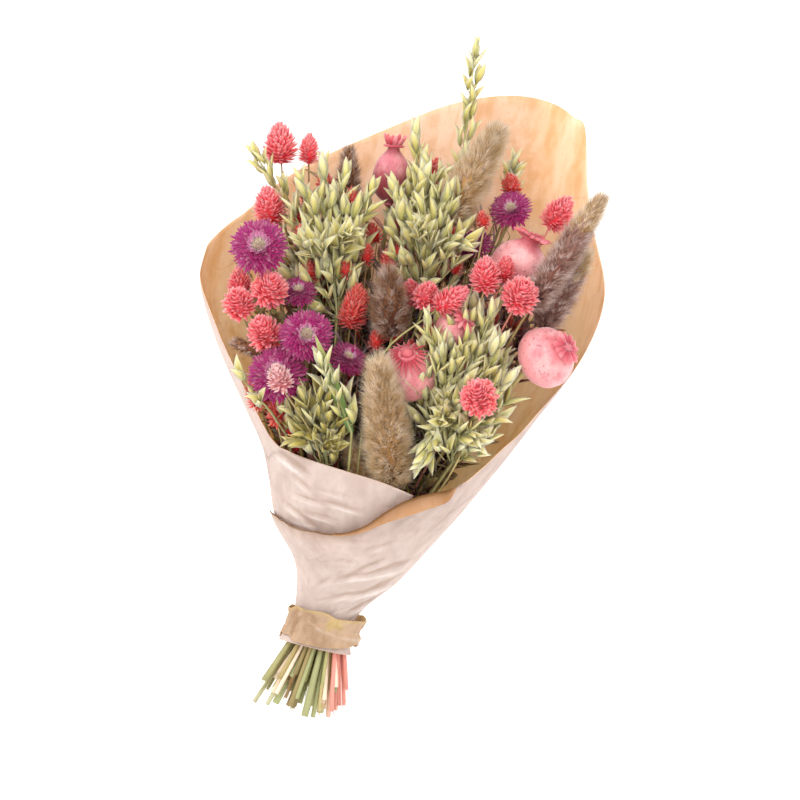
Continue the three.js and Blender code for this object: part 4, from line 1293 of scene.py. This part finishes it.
@dataclass
class Wrap(Sheet):
    """The sheet of kraft paper: an open cone that laps over itself and rolls out at its top edge."""

    start: float = -28.0
    end: float = 450.0
    bottom: float = -14.0
    lap_turns: Row = (285, 322)
    lap_gap: float = 2.4
    lap_bulge: float = 5.0
    bulge_rise: Row = (20, 60)
    bulge_end: Row = (385, 430)
    roll_radius: float = 3.4
    roll_turn: float = math.radians(122.0)
    roll_turns: Row = (311, 322)
    roll_end: Row = (345, 400)
    roll_fade: float = 0.85
    roll_from: float = 5 / 9
    lapel_from: float = 8 / 9
    gathered: float = 6.0
    gather_turns: Row = (250, 305)
    front_rim: float = 128.0
    inner_to: float = 100.0
    outer_from: float = 290.0
    growth: float = 1.4
    around: int = 270
    rows: int = 100
    face: float = 0.72
    thickness: float = 0.45
    dent: float = 0.45
    dent_waves: float = 0.03
    fold_depth: float = 0.7
    fold_waves: float = 3.2
    fold_rise: Row = (0, 40)
    fold_end: Row = (110, 240)
    crease_depth: float = 0.8
    plain_rows: Row = (1.0, 0.97)
    shaded_turns: Row = (308, 320)
    shaded_rows: Row = (0.5, 0.62)
    sections: Sequence[Row] = (  # y, half width, half depth, and the middle's height and place across
        (-20, 25.5, 19.5, 24, -1.5),
        (0, 18.5, 16, 23.5, -1),
        (16, 20.5, 18.5, 24.5, 1),
        (41, 33.5, 31, 34.5, 7),
        (64, 50, 42, 41, 4),
        (92, 63.5, 52, 49, 6),
        (110, 72, 57, 53, 6.5),
        (131, 85, 62, 58, 4),
        (175, 111, 74, 68, -2),
        (215, 129, 84, 77, -3),
        (258, 132, 92, 84, 1),
        (317, 121, 96, 86, 1),
        (390, 118, 96, 84, 2),
    )
    rim: Sequence[Row] = (  # degrees round, and how far up the top edge is there
        (-28, 102), (-8, 106), (14, 108), (36, 110), (48, 112), (58, 115), (63, 122), (67, 140), (71, 165),
        (76, 190), (83, 205), (90, 217), (100, 232), (107, 241), (114, 251), (121, 262), (128, 280),
        (139, 302), (162, 337), (182, 365), (196, 377), (207, 381), (218, 379), (226, 373), (232, 368),
        (240, 330), (250, 290), (262, 257), (270, 226), (278, 190), (285, 160), (294, 145), (302, 130),
        (309, 119), (317, 113), (325, 109), (333, 104), (345, 91), (353, 78), (365, 69), (384, 64.5),
        (402, 64), (420, 66.5), (450, 70),
    )
    lapel: Sequence[Row] = (  # degrees round, and how deep the edge lies folded over
        (300, 0), (310, 1), (320, 5), (328, 8), (336, 9), (344, 7), (352, 3), (360, 1), (450, 1),
    )

    def section(self, y: float, angle: float, offset: float) -> Vector:
        """A point of the cone at y, at degrees round from the front to the left, moved out by offset."""
        a = math.radians(angle)
        width = table(self.sections, y, 1) + offset
        height = table(self.sections, y, 2) + offset
        x = table(self.sections, y, 4) - width * math.sin(a)
        return Vector((x, y, table(self.sections, y, 3) + height * math.cos(a)))

    def holds(self, spot: Vector, share: float = 0.86) -> bool:
        """Whether a place lies well inside the cone, or above its middle in its open front."""
        x = (spot.x - table(self.sections, spot.y, 4)) / table(self.sections, spot.y, 1)
        z = (spot.z - table(self.sections, spot.y, 3)) / table(self.sections, spot.y, 2)
        if spot.y > self.front_rim:
            z = min(z, 0.0)
        return math.hypot(x, z) < share

    def lap(self, angle: float, y: float) -> float:
        """How far the outer lap stands off the inner one."""
        bulge = smooth(*self.bulge_rise, y) * (1 - smooth(*self.bulge_end, angle))
        return smooth(*self.lap_turns, angle) * (self.lap_gap + self.lap_bulge * bulge)

    def creases(self, angle: float, spot: Vector, out: Vector) -> float:
        """How far the paper's creases stand out at a place, which only its front shows."""
        if out.z < 0.1 or self.inner_to < angle < self.outer_from:
            return 0.0
        view = front_view(spot)
        lines = INNER_CREASES if angle < self.inner_to else OUTER_CREASES
        return sum(Crease(*line).at(view.x, view.y) for line in lines)

    def relief(self, angle: float, row: float, spot: Vector, out: Vector) -> float:
        """How far the paper stands out from its smooth form: its folds, and dents all over."""
        soft = noise.noise(Vector((spot.x, spot.y * 0.6, spot.z)) * self.dent_waves) * self.dent
        a = math.radians(angle)
        fold = crest(Vector((math.sin(a), math.cos(a), spot.y * 0.004)) * self.fold_waves, 2.6, 3)
        near = smooth(*self.fold_rise, spot.y) * (1 - 0.75 * smooth(*self.fold_end, spot.y))
        creased = self.crease_depth * self.creases(angle, spot, out)
        return (soft - self.fold_depth * near * fold + creased) * smooth(*self.plain_rows, row)

    def point(self, angle: float, row: float) -> Vector:
        """A point of the sheet: angle round, and row 0 at its foot to 1 at its top edge."""
        top = table(self.rim, angle)
        rolled = smooth(*self.roll_turns, angle) * (1 - self.roll_fade * smooth(*self.roll_end, angle))
        radius = self.roll_radius * rolled
        gathered = smooth(*self.gather_turns, angle)
        start = top - (radius if rolled else self.gathered * gathered)
        split = 1 - (1 - self.roll_from) * gathered
        if row <= split or not rolled:
            share = min(row / split, 1.0) ** self.growth
            above = (row - split) / (1 - split) if row > split else 0.0
            y = self.bottom + (start - self.bottom) * share + (top - start) * above
            return self.section(y, angle, self.lap(angle, y))
        below = self.section(start - 1, angle, self.lap(angle, start - 1))
        spot = self.section(start, angle, self.lap(angle, start))
        ahead = (spot - below).normalized()
        a = math.radians(angle)
        out = Vector((-math.sin(a), 0, math.cos(a)))
        out = (out - ahead * out.dot(ahead)).normalized()
        turn = self.roll_turn * min((row - split) / (self.lapel_from - split), 1.0)
        spot = spot + ahead * (radius * math.sin(turn)) + out * (radius * (1 - math.cos(turn)))
        folded = max((row - self.lapel_from) / (1 - self.lapel_from), 0.0)
        depth = max(table(self.lapel, angle), 0.0) * rolled * folded
        return spot + ahead * (depth * math.cos(turn)) + out * (depth * math.sin(turn))

    def tone(self, angle: float, row: float, spot: Vector, out: Vector) -> tuple[float, float]:
        """How much painted shade the paper takes where it is rolled, and its creases as a number about a
        half, which paints shade in their valleys and highlights on their ridges.
        """
        rolled = smooth(*self.shaded_turns, angle) * smooth(*self.shaded_rows, row)
        return rolled * (0.7 + 0.3 * smooth(0.98, 0.8, row)), 0.5 + 0.5 * self.creases(angle, spot, out)

    def build(self, bench: Bench) -> None:
        """Builds the sheet, pale outside and tan inside."""
        piece = Piece("paper_sheet", Finishes.PAPER_OUT, Finishes.PAPER_IN)
        self.finish(bench, "paper_wrap", "wrap_paper", piece, 1)


@dataclass
class Tie(Sheet):
    """The strip of kraft paper that is wound round the neck, with a rolled ridge and a folded tab.

    The rows of its ridge say how far up it lies at places across, and those of its top and bottom how far
    these edges lie off even. Its patch is the middle and half sizes of a thin place, painted golden as light
    showing through it.
    """

    wrap: Wrap
    start: float = -45.0
    end: float = 400.0
    last_turn: float = 250.0
    half_width: float = 11.0
    half_across: float = 26.0
    clearance: float = 1.5
    rise: float = 2.2
    slant: float = -2.0
    flare: float = 1.0
    flare_end: Row = (340, 385)
    waver: float = 1.6
    waves: float = 2.6
    tab_at: float = 312.0
    tab_reach: float = 2.5
    tab_spread: float = 20.0
    tuck: float = 1.2
    paper: float = 0.8
    around: int = 220
    rows: int = 40
    face: float = 0.7
    thickness: float = 0.5
    ridge: Sequence[Row] = ((-21, 15), (-11, 7), (-2, 0), (14, -6.5), (27, -7.5))
    # the thin place, where light showing through the paper is painted golden
    patch: Row = (7.5, 3.3, 6.5, 4.5)
    ridge_height: float = 1.7
    ridge_width: float = 2.0
    top: Sequence[Row] = ((-30, -2), (-21, 1), (-15, 1), (-8, 1), (6, -2), (14, -3.4), (21, -2), (30, -4))
    bottom: Sequence[Row] = ((-30, 5), (-22, 3), (-12, 0), (0, -1), (14, 0), (21, 3), (30, 5))

    def point(self, angle: float, row: float) -> Vector:
        """A point of the strip: angle round, and row 0 at its foot to 1 at its upper edge."""
        share = (angle - self.start) / (self.end - self.start)
        tab = self.tab_reach * math.exp(-(((angle - self.tab_at) / self.tab_spread) ** 2))
        offset = self.wrap.lap_gap + self.paper + self.clearance + self.rise * share + tab
        upper, lower = smooth(0.5, 1, row), smooth(0.5, 0, row)
        offset += self.flare * upper * (1 - smooth(*self.flare_end, angle))
        a = math.radians(angle)
        sine, cosine = math.sin(a), math.cos(a)
        uneven = self.waver * noise.noise(Vector((sine * self.waves, cosine * self.waves, row)))
        y = self.slant * sine + (self.half_width + uneven) * (2 * row - 1)
        front = smooth(-0.5, 0.2, cosine)
        y += front * table(self.top, -sine * self.half_across) * upper
        y += front * table(self.bottom, -sine * self.half_across) * lower
        offset -= self.tuck * lower * smooth(0, -0.8, -sine)
        return self.wrap.section(y, angle, offset)

    def relief(self, angle: float, row: float, spot: Vector, out: Vector) -> float:
        """How far the strip stands out: its ridge, the hollow above it, and crumples."""
        view = front_view(spot)
        crumple = noise.noise(spot * 0.16 + Vector((3, 1, 0))) * 1.5
        sharp = crest(spot * 0.11 + Vector((0, 8, 2)), 3, 2)
        fine = crest(Vector((spot.x * 0.22, spot.y * 0.12, spot.z * 0.22)), 4, 2)
        high = crumple * 0.7 - sharp * 0.8 - fine * 0.7
        if angle > self.last_turn and out.z > 0:
            off = (view.y - table(self.ridge, view.x)) / self.ridge_width
            high += self.ridge_height * math.exp(-(off**2))
            high -= 0.8 * math.exp(-((off - 2.4) ** 2))
        return 0.3 + high * 0.8

    def tone(self, angle: float, row: float, spot: Vector, out: Vector) -> tuple[float, float]:
        """How far the strip takes its painted colour, as painted light through a thin place and painted shade
        along its upper edge, and its relief about a half, which paints shade and highlights.
        """
        view = front_view(spot)
        away = Vector(((view.x - self.patch[0]) / self.patch[2], (view.y - self.patch[1]) / self.patch[3]))
        edge = 1 + 0.5 * noise.noise(Vector((view.x * 0.2, view.y * 0.2, 4)))
        # painted light at the thin place, and painted shade along the upper edge
        thin = 0.8 * smooth(1.3, 0.6, away.length * edge) if angle > self.last_turn else 0.0
        return max(thin, 0.6 * smooth(0.86, 1.0, row)), 0.46 + 0.1 * self.relief(angle, row, spot, out)

    def build(self, bench: Bench) -> None:
        """Builds the strip."""
        self.finish(bench, "paper_tie", "tie_paper", Piece("tie_strip", Finishes.TIE), 0)


# The rows of the next four give each head's stand in the front view.
CANARY = (
    (-28, 324, 62, -3, 10, 29, 21), (-9, 321, 52, 2, 10, 22, 15), (-35, 282, 76, -8, 25, 28, 20),
    (-54, 217, 110, -15, 50, 22, 19), (-54, 231, 84, -5, 25, 22, 16), (-33, 226, 112, 20, 55, 24, 22),
    (-37, 198, 114, -20, 45, 24, 21), (22, 216, 92, 12, 8, 34, 18), (-26, 168, 147, -15, 35, 19, 16),
    (59, 224, 96, -10, 40, 22, 15), (69, 222, 112, 10, 50, 20, 17), (86, 219, 122, 55, 8, 27, 17),
    (107, 235, 122, 5, 30, 25, 19), (130, 222, 122, 25, 50, 26, 22), (120, 239, 107, 12, 30, 20, 15),
    (102, 156, 140, -10, 60, 25, 22), (157, 277, 78, 35, 25, 27, 19), (130, 310, 50, 0, 5, 14, 7),
    (125, 296, 62, -5, 35, 18, 14), (106, 272, 86, -10, 40, 14, 11), (73, 305, 58, 25, 12, 26, 13),
    (2, 294, 60, 5, 25, 16, 12), (-11, 289, 56, -10, 25, 16, 11), (70, 199, 100, 5, 25, 20, 12),
    (62, 290, 46, 5, 15, 20, 12), (-42, 160, 86, -10, 25, 28, 17), (-26, 148, 92, 15, 30, 26, 17),
    (4, 152, 112, 10, 45, 16, 13),
)
POPPIES = (
    (46, 304, 66, 5, 8, 42, 25), (131, 244, 82, 25, 12, 42, 38), (149, 182, 112, 65, 42, 38, 40),
    (57, 173, 108, -5, 52, 42, 38), (88, 201, 112, 50, 40, 26, 24),
)
STRAWFLOWERS = (
    (-40, 253, 116, -10, 72, 15, 39), (-9, 195, 128, 20, 75, 15, 36), (-28, 170, 122, -20, 66, 15, 40),
    (125, 279, 72, -20, 62, 13, 29), (17, 180, 106, 30, 45, 12, 28), (-15, 224, 96, 0, 50, 12, 26),
    (101, 256, 68, -10, 45, 12, 26),
)
PLUMES = (
    (17, 298, 60, 2, 8, 50, 20), (100, 302, 84, 30, 14, 78, 31), (161, 251, 115, 33, 12, 98, 24),
    (160, 226, 86, 30, 10, 66, 24), (45, 217, 112, -3, 30, 52, 27), (42, 140, 118, -6, 34, 108, 34),
    (25, 110, 79, -25, 30, 48, 22), (-46, 187, 92, -70, 10, 30, 14),
)
OATS = (  # a fork, the tips of its branches with how full each is, and the tip of a leaf
    ((88, 275, 50), ((101, 380, 52, 12),), ()),
    ((-15, 269, 66), ((-43, 313, 74, 7),), ()),
    (
        (10, 209, 84),
        (
            (2, 303, 78, 4), (-12, 292, 88, 3), (15, 295, 84, 3), (30, 285, 88, 4), (-10, 254, 114, 4),
            (16, 260, 116, 4),
        ),
        (),
    ),
    (
        (68, 224, 80),
        (
            (68, 293, 88, 4), (62, 322, 74, 4), (50, 285, 92, 3), (82, 284, 94, 4), (91, 254, 106, 3),
            (64, 264, 114, 4),
        ),
        (),
    ),
    (
        (86, 112, 90),
        (
            (79, 185, 130, 4), (70, 199, 126, 3), (109, 205, 120, 3), (115, 186, 128, 3), (117, 162, 120, 2),
            (109, 139, 114, 3), (98, 128, 120, 3), (78, 142, 130, 3), (68, 118, 114, 3),
        ),
        (),
    ),
    ((20, 132, 112), ((2, 173, 140, 4),), (-3, 195, 152)),
    (
        (4, 106, 88),
        (
            (0, 154, 126, 4), (-10, 150, 124, 3), (-18, 142, 118, 2), (5, 146, 120, 3), (6, 124, 110, 3),
            (-12, 128, 114, 2),
        ),
        (),
    ),
    ((-22, 128, 84), ((-49, 165, 134, 2), (-38, 152, 132, 2)), ()),
    ((122, 278, 52), ((127, 306, 54, 4),), ()),
)
BUSHES = {  # oat: its bush's middle across, up and height, its half sizes and its count
    3: (2, 246, 96, 25, 44, 58),
    4: (69, 260, 98, 24, 43, 58),
    5: (90, 161, 122, 29, 50, 104),
    7: (0, 134, 108, 16, 18, 30),
}


@dataclass
class Bunch:
    """All that stands in the wrap, stem by stem."""

    # these heads lie in shade and take the coral's deeper red copy as painted shade
    shaded_canary: Sequence[int] = (8, *range(18, 29))
    pale_canary: Sequence[int] = (9,)
    straw_oats: Sequence[int] = (7,)
    slim_oats: Sequence[int] = (1, 2, 9)
    slim: float = 0.86
    pale_hearts: Sequence[float] = (0.16, 0.1, 0.1, 0.04, 0.06, 0.06, 0.03)
    oat_crowding: Sequence[float] = (1.8, 1.8, 3.0, 3.0, 3.2, 3.4, 3.0, 1.5, 3.0)
    crown_fields: Sequence[str] = ("flare", "rays", "crown", "hub", "ray_width")
    crowns: Sequence[Row] = (
        (20.0, 10, 0.64, 0.9, 0.8), (72.0, 15, 0.66, 0.8, 1.0), (84.0, 13, 0.54, 0.78, 1.2),
        (106.0, 22, 0.8, 0.26, 0.46), (84.0, 13, 0.8, 0.3, 0.8),
    )
    plume_finishes: Sequence[Finishes] = (
        Finishes.BROWN, Finishes.BEIGE, Finishes.MAUVE, Finishes.MAUVE,
        Finishes.BROWN, Finishes.BEIGE, Finishes.BEIGE, Finishes.BROWN,
    )

    def plants(self) -> list[tuple[str, Plant, str]]:
        """Gives each plant with its node's name and its record slot."""
        made: list[tuple[str, Plant, str]] = []
        for i, row in enumerate(CANARY, 1):
            finish = Finishes.RED if i in self.shaded_canary else Finishes.CORAL
            if i in self.pale_canary:
                finish = Finishes.PALE
            made.append((f"canary_grass_{i:02d}", CanaryGrass(Stand(*row), finish), finish.value.name))
        for i, row in enumerate(POPPIES, 1):
            pod = Finishes.DARK_POD if i == 1 else Finishes.POD
            crown = dict(zip(self.crown_fields, self.crowns[i - 1]))
            made.append((f"poppy_{i}", Poppy(Stand(*row), pod, **crown), "poppy_pink"))
        for i, row in enumerate(STRAWFLOWERS, 1):
            bloom = Strawflower(Stand(*row), self.pale_hearts[i - 1])
            made.append((f"strawflower_{i}", bloom, "strawflower_magenta"))
        for i, (row, finish) in enumerate(zip(PLUMES, self.plume_finishes), 1):
            made.append((f"plume_{i}", Plume(Stand(*row), finish), finish.value.name))
        for i, (fork, tips, leaf) in enumerate(OATS, 1):
            finish = Finishes.STRAW_HUSK if i in self.straw_oats else Finishes.HUSK
            oat = Oat(fork, tips, leaf, BUSHES.get(i, ()), self.oat_crowding[i - 1], finish)
            oat.husk_length *= self.slim if i in self.slim_oats else 1.0
            made.append((f"oat_{i}", oat, "oat_green"))
        return made

    def build(self, bench: Bench) -> None:
        """Grows every plant along its packed stem."""
        plants = self.plants()
        Undergrowth(Wrap()).build(bench)
        CutStems().build(bench)
        for number, (node, plant, slot) in enumerate(plants):
            draw = random.Random(number + 7)
            stand = plant if isinstance(plant, Oat) else plant.stand
            line = bench.line(node, stand.root, stand.ahead)
            stem = plant.stem if isinstance(plant, Oat) else stalk_finish(line[0], plant.stem)
            piece = Piece(f"{node}_dressed", stem, plant.finish, *plant.more)
            plant.grow_stem(piece, line, draw)
            plant.build(piece, draw)
            piece.done(bench, node)


class Growth(Enum):
    """What a spray of undergrowth carries, with its place among the undergrowth's finishes."""

    OLIVE = 1
    PLUM = 2
    RUST = 3
    LIME = 4
    BUDS = 5


@dataclass(frozen=True)
class Patch:
    """A region of the front view that undergrowth fills: its middle, half sizes, height and kinds."""

    across: float
    up: float
    width: float
    height: float
    level: float
    sprays: int
    kinds: Sequence[Growth]


OLIVE, PLUM, RUST, LIME, BUDS = Growth
# regions filled with undergrowth, its dark leaves partly painted shade between the heads
PATCHES = (
    Patch(2, 258, 32, 42, 66, 22, (OLIVE, OLIVE, RUST)),
    Patch(71, 262, 32, 36, 64, 22, (OLIVE, OLIVE, RUST)),
    Patch(110, 256, 18, 18, 56, 12, (PLUM, PLUM, BUDS)),
    Patch(98, 250, 14, 16, 70, 6, (BUDS,)),
    Patch(30, 222, 40, 24, 66, 20, (PLUM, OLIVE, PLUM)),
    Patch(92, 214, 40, 22, 64, 20, (PLUM, RUST, PLUM)),
    Patch(140, 212, 20, 24, 62, 14, (PLUM, RUST)),
    Patch(-31, 222, 20, 36, 66, 14, (OLIVE, LIME, RUST)),
    Patch(-26, 262, 12, 16, 66, 6, (LIME, OLIVE)),
    Patch(-24, 158, 26, 26, 62, 20, (RUST, RUST, LIME)),
    Patch(-14, 134, 22, 18, 66, 12, (LIME, RUST, OLIVE)),
    Patch(30, 142, 34, 36, 60, 22, (PLUM, OLIVE, RUST)),
    Patch(86, 150, 34, 34, 66, 22, (OLIVE, OLIVE, PLUM)),
    Patch(18, 188, 34, 26, 66, 18, (PLUM, PLUM, RUST)),
    Patch(66, 190, 34, 22, 66, 14, (PLUM, RUST)),
    Patch(68, 118, 26, 18, 58, 10, (OLIVE, PLUM)),
)
SHADED_HEADS = (  # across, up and height
    (2, 298, 56), (15, 270, 72), (34, 264, 70), (-15, 276, 62), (61, 286, 64), (80, 276, 68), (52, 252, 76),
    (88, 244, 84), (16, 240, 86), (44, 244, 82), (26, 219, 92), (36, 193, 92), (48, 199, 92), (24, 176, 90),
    (15, 156, 92), (8, 146, 92), (-36, 165, 78), (-32, 153, 80), (-27, 143, 80), (-38, 175, 76),
    (-21, 134, 80), (-27, 156, 74), (-30, 146, 74), (-16, 126, 74), (58, 186, 94), (70, 176, 92),
    (112, 196, 84), (-14, 262, 84), (20, 286, 78), (30, 250, 84), (48, 228, 88), (-8, 238, 86),
    (86, 262, 84),
)


@dataclass
class Undergrowth:
    """Dry leafy stems and small dull heads that stand low between the others; their dark leaves and dull red
    heads are partly painted shade that fills the gaps between the heads above them.
    """

    wrap: Wrap
    neck: Row = (-1.0, 23.5)
    neck_size: Row = (13.0, 11.0)
    tries: int = 8
    leaves: int = 13
    bare: float = 0.58
    leaf_length: float = 20.0
    leaf_width: float = 0.36
    bud_reach: float = 8.0
    bud_size: Row = (2.3, 2.1)
    head_size: Row = (17.0, 12.5)

    def stem(self, piece: Piece, tip: Vector, draw: random.Random) -> list[Vector]:
        """Runs a stem from the neck to its tip, which is drawn inwards until the wrap holds the stem."""
        turn = draw.uniform(0, 2 * math.pi)
        far = math.sqrt(draw.random())
        across = self.neck[0] + self.neck_size[0] * far * math.cos(turn)
        height = self.neck[1] + self.neck_size[1] * far * math.sin(turn)
        foot = Vector((across, 4, height))
        for _ in range(self.tries):
            bend = Vector((tip.x * 0.3, tip.y * 0.42, height + (tip.z - height) * 0.4))
            line = [bow(foot, bend, tip, n / STEPS) for n in range(STEPS + 1)]
            if all(self.wrap.holds(spot, 0.84) for spot in line[2:]):
                break
            tip = Vector((tip.x * 0.92, tip.y, tip.z + (68 - tip.z) * 0.15))
        piece.rod(line, [0.95 - 0.04 * n for n in range(STEPS + 1)], 4, draw.random())
        return line

    def spray(self, piece: Piece, tip: Vector, kind: Growth, draw: random.Random) -> None:
        """Grows one stem with leaves or buds along its upper half."""
        line = self.stem(piece, tip, draw)
        for n in range(self.leaves):
            at, ahead = along(line, self.bare + (1 - self.bare) * n / (self.leaves - 1))
            out = ring(ahead, n * GOLDEN_TURN)
            way = (ahead + out * draw.uniform(0.5, 1.6) + Vector((0, 0.3, 0))).normalized()
            long = self.leaf_length * draw.uniform(0.7, 1.15)
            if not self.wrap.holds(at + way * long, 0.9):
                continue
            if kind is BUDS:
                end = at + way * self.bud_reach
                piece.rod([at, end], [0.3, 0.25], 4, 0.5)
                piece.put("floret", end, way, out, *self.bud_size, draw.random(), 0, kind.value)
                continue
            over = ahead - out * 0.3
            wide = long * self.leaf_width * draw.uniform(0.8, 1.1)
            curl = draw.uniform(-0.25, 0.0)
            piece.put("leaflet", at, way, over, long, wide, draw.random(), curl, kind.value)

    def build(self, bench: Bench) -> None:
        """Fills each patch with sprays, and sets the dull heads."""
        piece = Piece(
            "undergrowth", Finishes.OLIVE_STALK, Finishes.SHADE_LEAF, Finishes.PLUM_LEAF, Finishes.RUST_LEAF,
            Finishes.LIME_LEAF, Finishes.BUD,
        )
        draw = random.Random(5)
        for patch in PATCHES:
            for n in range(patch.sprays):
                x, y = oval(n, patch.sprays, patch.width, patch.height)
                tip = place(patch.across + x, patch.up + y, patch.level + draw.uniform(-14, 12))
                self.spray(piece, tip, patch.kinds[n % len(patch.kinds)], draw)
        piece.done(bench)
        # the small heads deep in the bunch take the coral's painted-shade copy
        piece = Piece("shaded_heads", Finishes.BROWN_STALK, Finishes.RED)
        for across, up, level in SHADED_HEADS:
            long, wide = (size * draw.uniform(0.85, 1.15) for size in self.head_size)
            stand = Stand(across, up, level, draw.uniform(-20, 20), draw.uniform(10, 45), long, wide)
            self.stem(piece, stand.root, draw)
            CanaryGrass(stand, Finishes.RED, 0.36).build(piece, draw)
        piece.done(bench)


@dataclass
class CutStems:
    """The ends of the undergrowth's own stems below the tie."""

    neck: Row = (-1.0, 23.5)
    neck_size: Row = (15.4, 13.0)
    count: int = 46
    reach: float = 60.0
    spread: Row = (1.46, 0.7)
    lean: float = -3.0
    lengths: Row = (34.0, 56.5)
    fibres: int = 2
    finishes: Sequence[Finishes] = (
        Finishes.GREY_STALK, Finishes.CREAM_STALK, Finishes.BROWN_STALK, Finishes.OLIVE_STALK,
        Finishes.GREEN_STALK, Finishes.SALMON_STALK,
    )

    def build(self, bench: Bench) -> None:
        """Runs each stem from inside the neck down to its cut end."""
        piece = Piece("cut_stems", *self.finishes)
        draw = random.Random(11)
        for n in range(self.count):
            x, z = oval(n, self.count, *self.neck_size)
            long = draw.uniform(*self.lengths)
            line = []
            for down in (-12.0, 0.0, long * 0.35, long * 0.7, long):
                grown = max(down, 0.0) / self.reach
                across = self.neck[0] + x * (1 + self.spread[0] * grown) + self.lean * grown
                height = self.neck[1] + z * (1 + self.spread[1] * grown)
                stray = Vector((draw.uniform(-0.5, 0.5), 0, draw.uniform(-0.5, 0.5))) * grown
                line.append(Vector((across, -down, max(height, 2.0))) + stray)
            finish = self.finishes.index(stalk_finish(line[-1], Finishes.GREEN_STALK))
            thick = draw.uniform(0.8, 1.7)
            piece.rod(line, [thick, thick, thick * 1.05, thick * 1.08, thick * 1.1], 8, draw.random(), finish)
            end = (line[-1] - line[-2]).normalized()
            for _ in range(self.fibres):
                out = ring(end, draw.uniform(0, 2 * math.pi))
                at = line[-1] + out * thick * 0.8 - end * 2
                piece.rod([at, at + (end + out * 0.1) * draw.uniform(3, 7)], [0.35, 0.15], 4, 0.9, finish)
        piece.done(bench)


@dataclass
class Studio:
    """The floor, the soft lights and the camera that looks down on the bunch."""

    distance: float = 2.6
    centre: Row = (51.5, 153.1)
    frame_width: float = 528.0
    height: float = 75.0
    floor: float = 3000.0
    sensor: float = 36.0
    daylight: float = 1.28
    key: tuple[float, float, Row] = (2.0, 32.0, (-1.0, 0.7, 2.2))
    fill: tuple[float, float, Row] = (3.0, 8.0, (1.4, -0.6, 1.8))

    def build(self, bench: Bench) -> None:
        """Sets up the studio."""
        scene = bpy.context.scene
        scene.view_settings.view_transform = "Standard"
        piece = Piece("floor", Finishes.FLOOR)
        bmesh.ops.create_grid(piece.bm, x_segments=2, y_segments=2, size=self.floor)
        floor = piece.show(Vector())
        floor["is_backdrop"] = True
        self.camera(bench)
        self.light("key", *self.key)
        self.light("fill", *self.fill)
        world = bpy.data.worlds.new("studio")
        scene.world = world
        world.use_nodes = True
        sky = world.node_tree.nodes["Background"].inputs
        sky["Color"].default_value = (1, 1, 1, 1)
        sky["Strength"].default_value = self.daylight

    def camera(self, bench: Bench) -> None:
        """Looks straight down on the bunch, rolled so that it leans to the right."""
        data = bpy.data.cameras.new("camera")
        camera = bpy.data.objects.new("camera", data)
        bpy.context.scene.collection.objects.link(camera)
        spot = place(*self.centre, self.height) + bench.shift
        camera.location = (spot.x * MM, spot.y * MM, self.height * MM + self.distance)
        camera.rotation_euler = (0, 0, LEAN)
        data.sensor_width = self.sensor
        data.lens = self.sensor * self.distance / (self.frame_width * MM)
        data.clip_end = 20.0
        bpy.context.scene.camera = camera

    def light(self, name: str, size: float, power: float, at: Row) -> None:
        """Adds a soft square light that looks at the bunch."""
        data = bpy.data.lights.new(name, "AREA")
        data.size = size
        data.energy = power
        light = bpy.data.objects.new(name, data)
        light.location = at
        light.rotation_euler = (-Vector(at)).to_track_quat("-Z", "Y").to_euler()
        bpy.context.scene.collection.objects.link(light)


def corners() -> list[list[float]]:
    """Gives the shown object's lowest and highest corners as plain numbers."""
    return [list(corner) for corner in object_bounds()]


def main() -> None:
    """Builds the looks of the whole bunch."""
    logging.basicConfig(level=logging.INFO, format="%(message)s")
    bench = Bench()
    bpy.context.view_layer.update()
    wrap = Wrap()
    wrap.build(bench)
    Tie(wrap).build(bench)
    Bunch().build(bench)
    Studio().build(bench)
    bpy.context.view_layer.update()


if __name__ == "__main__":
    main()
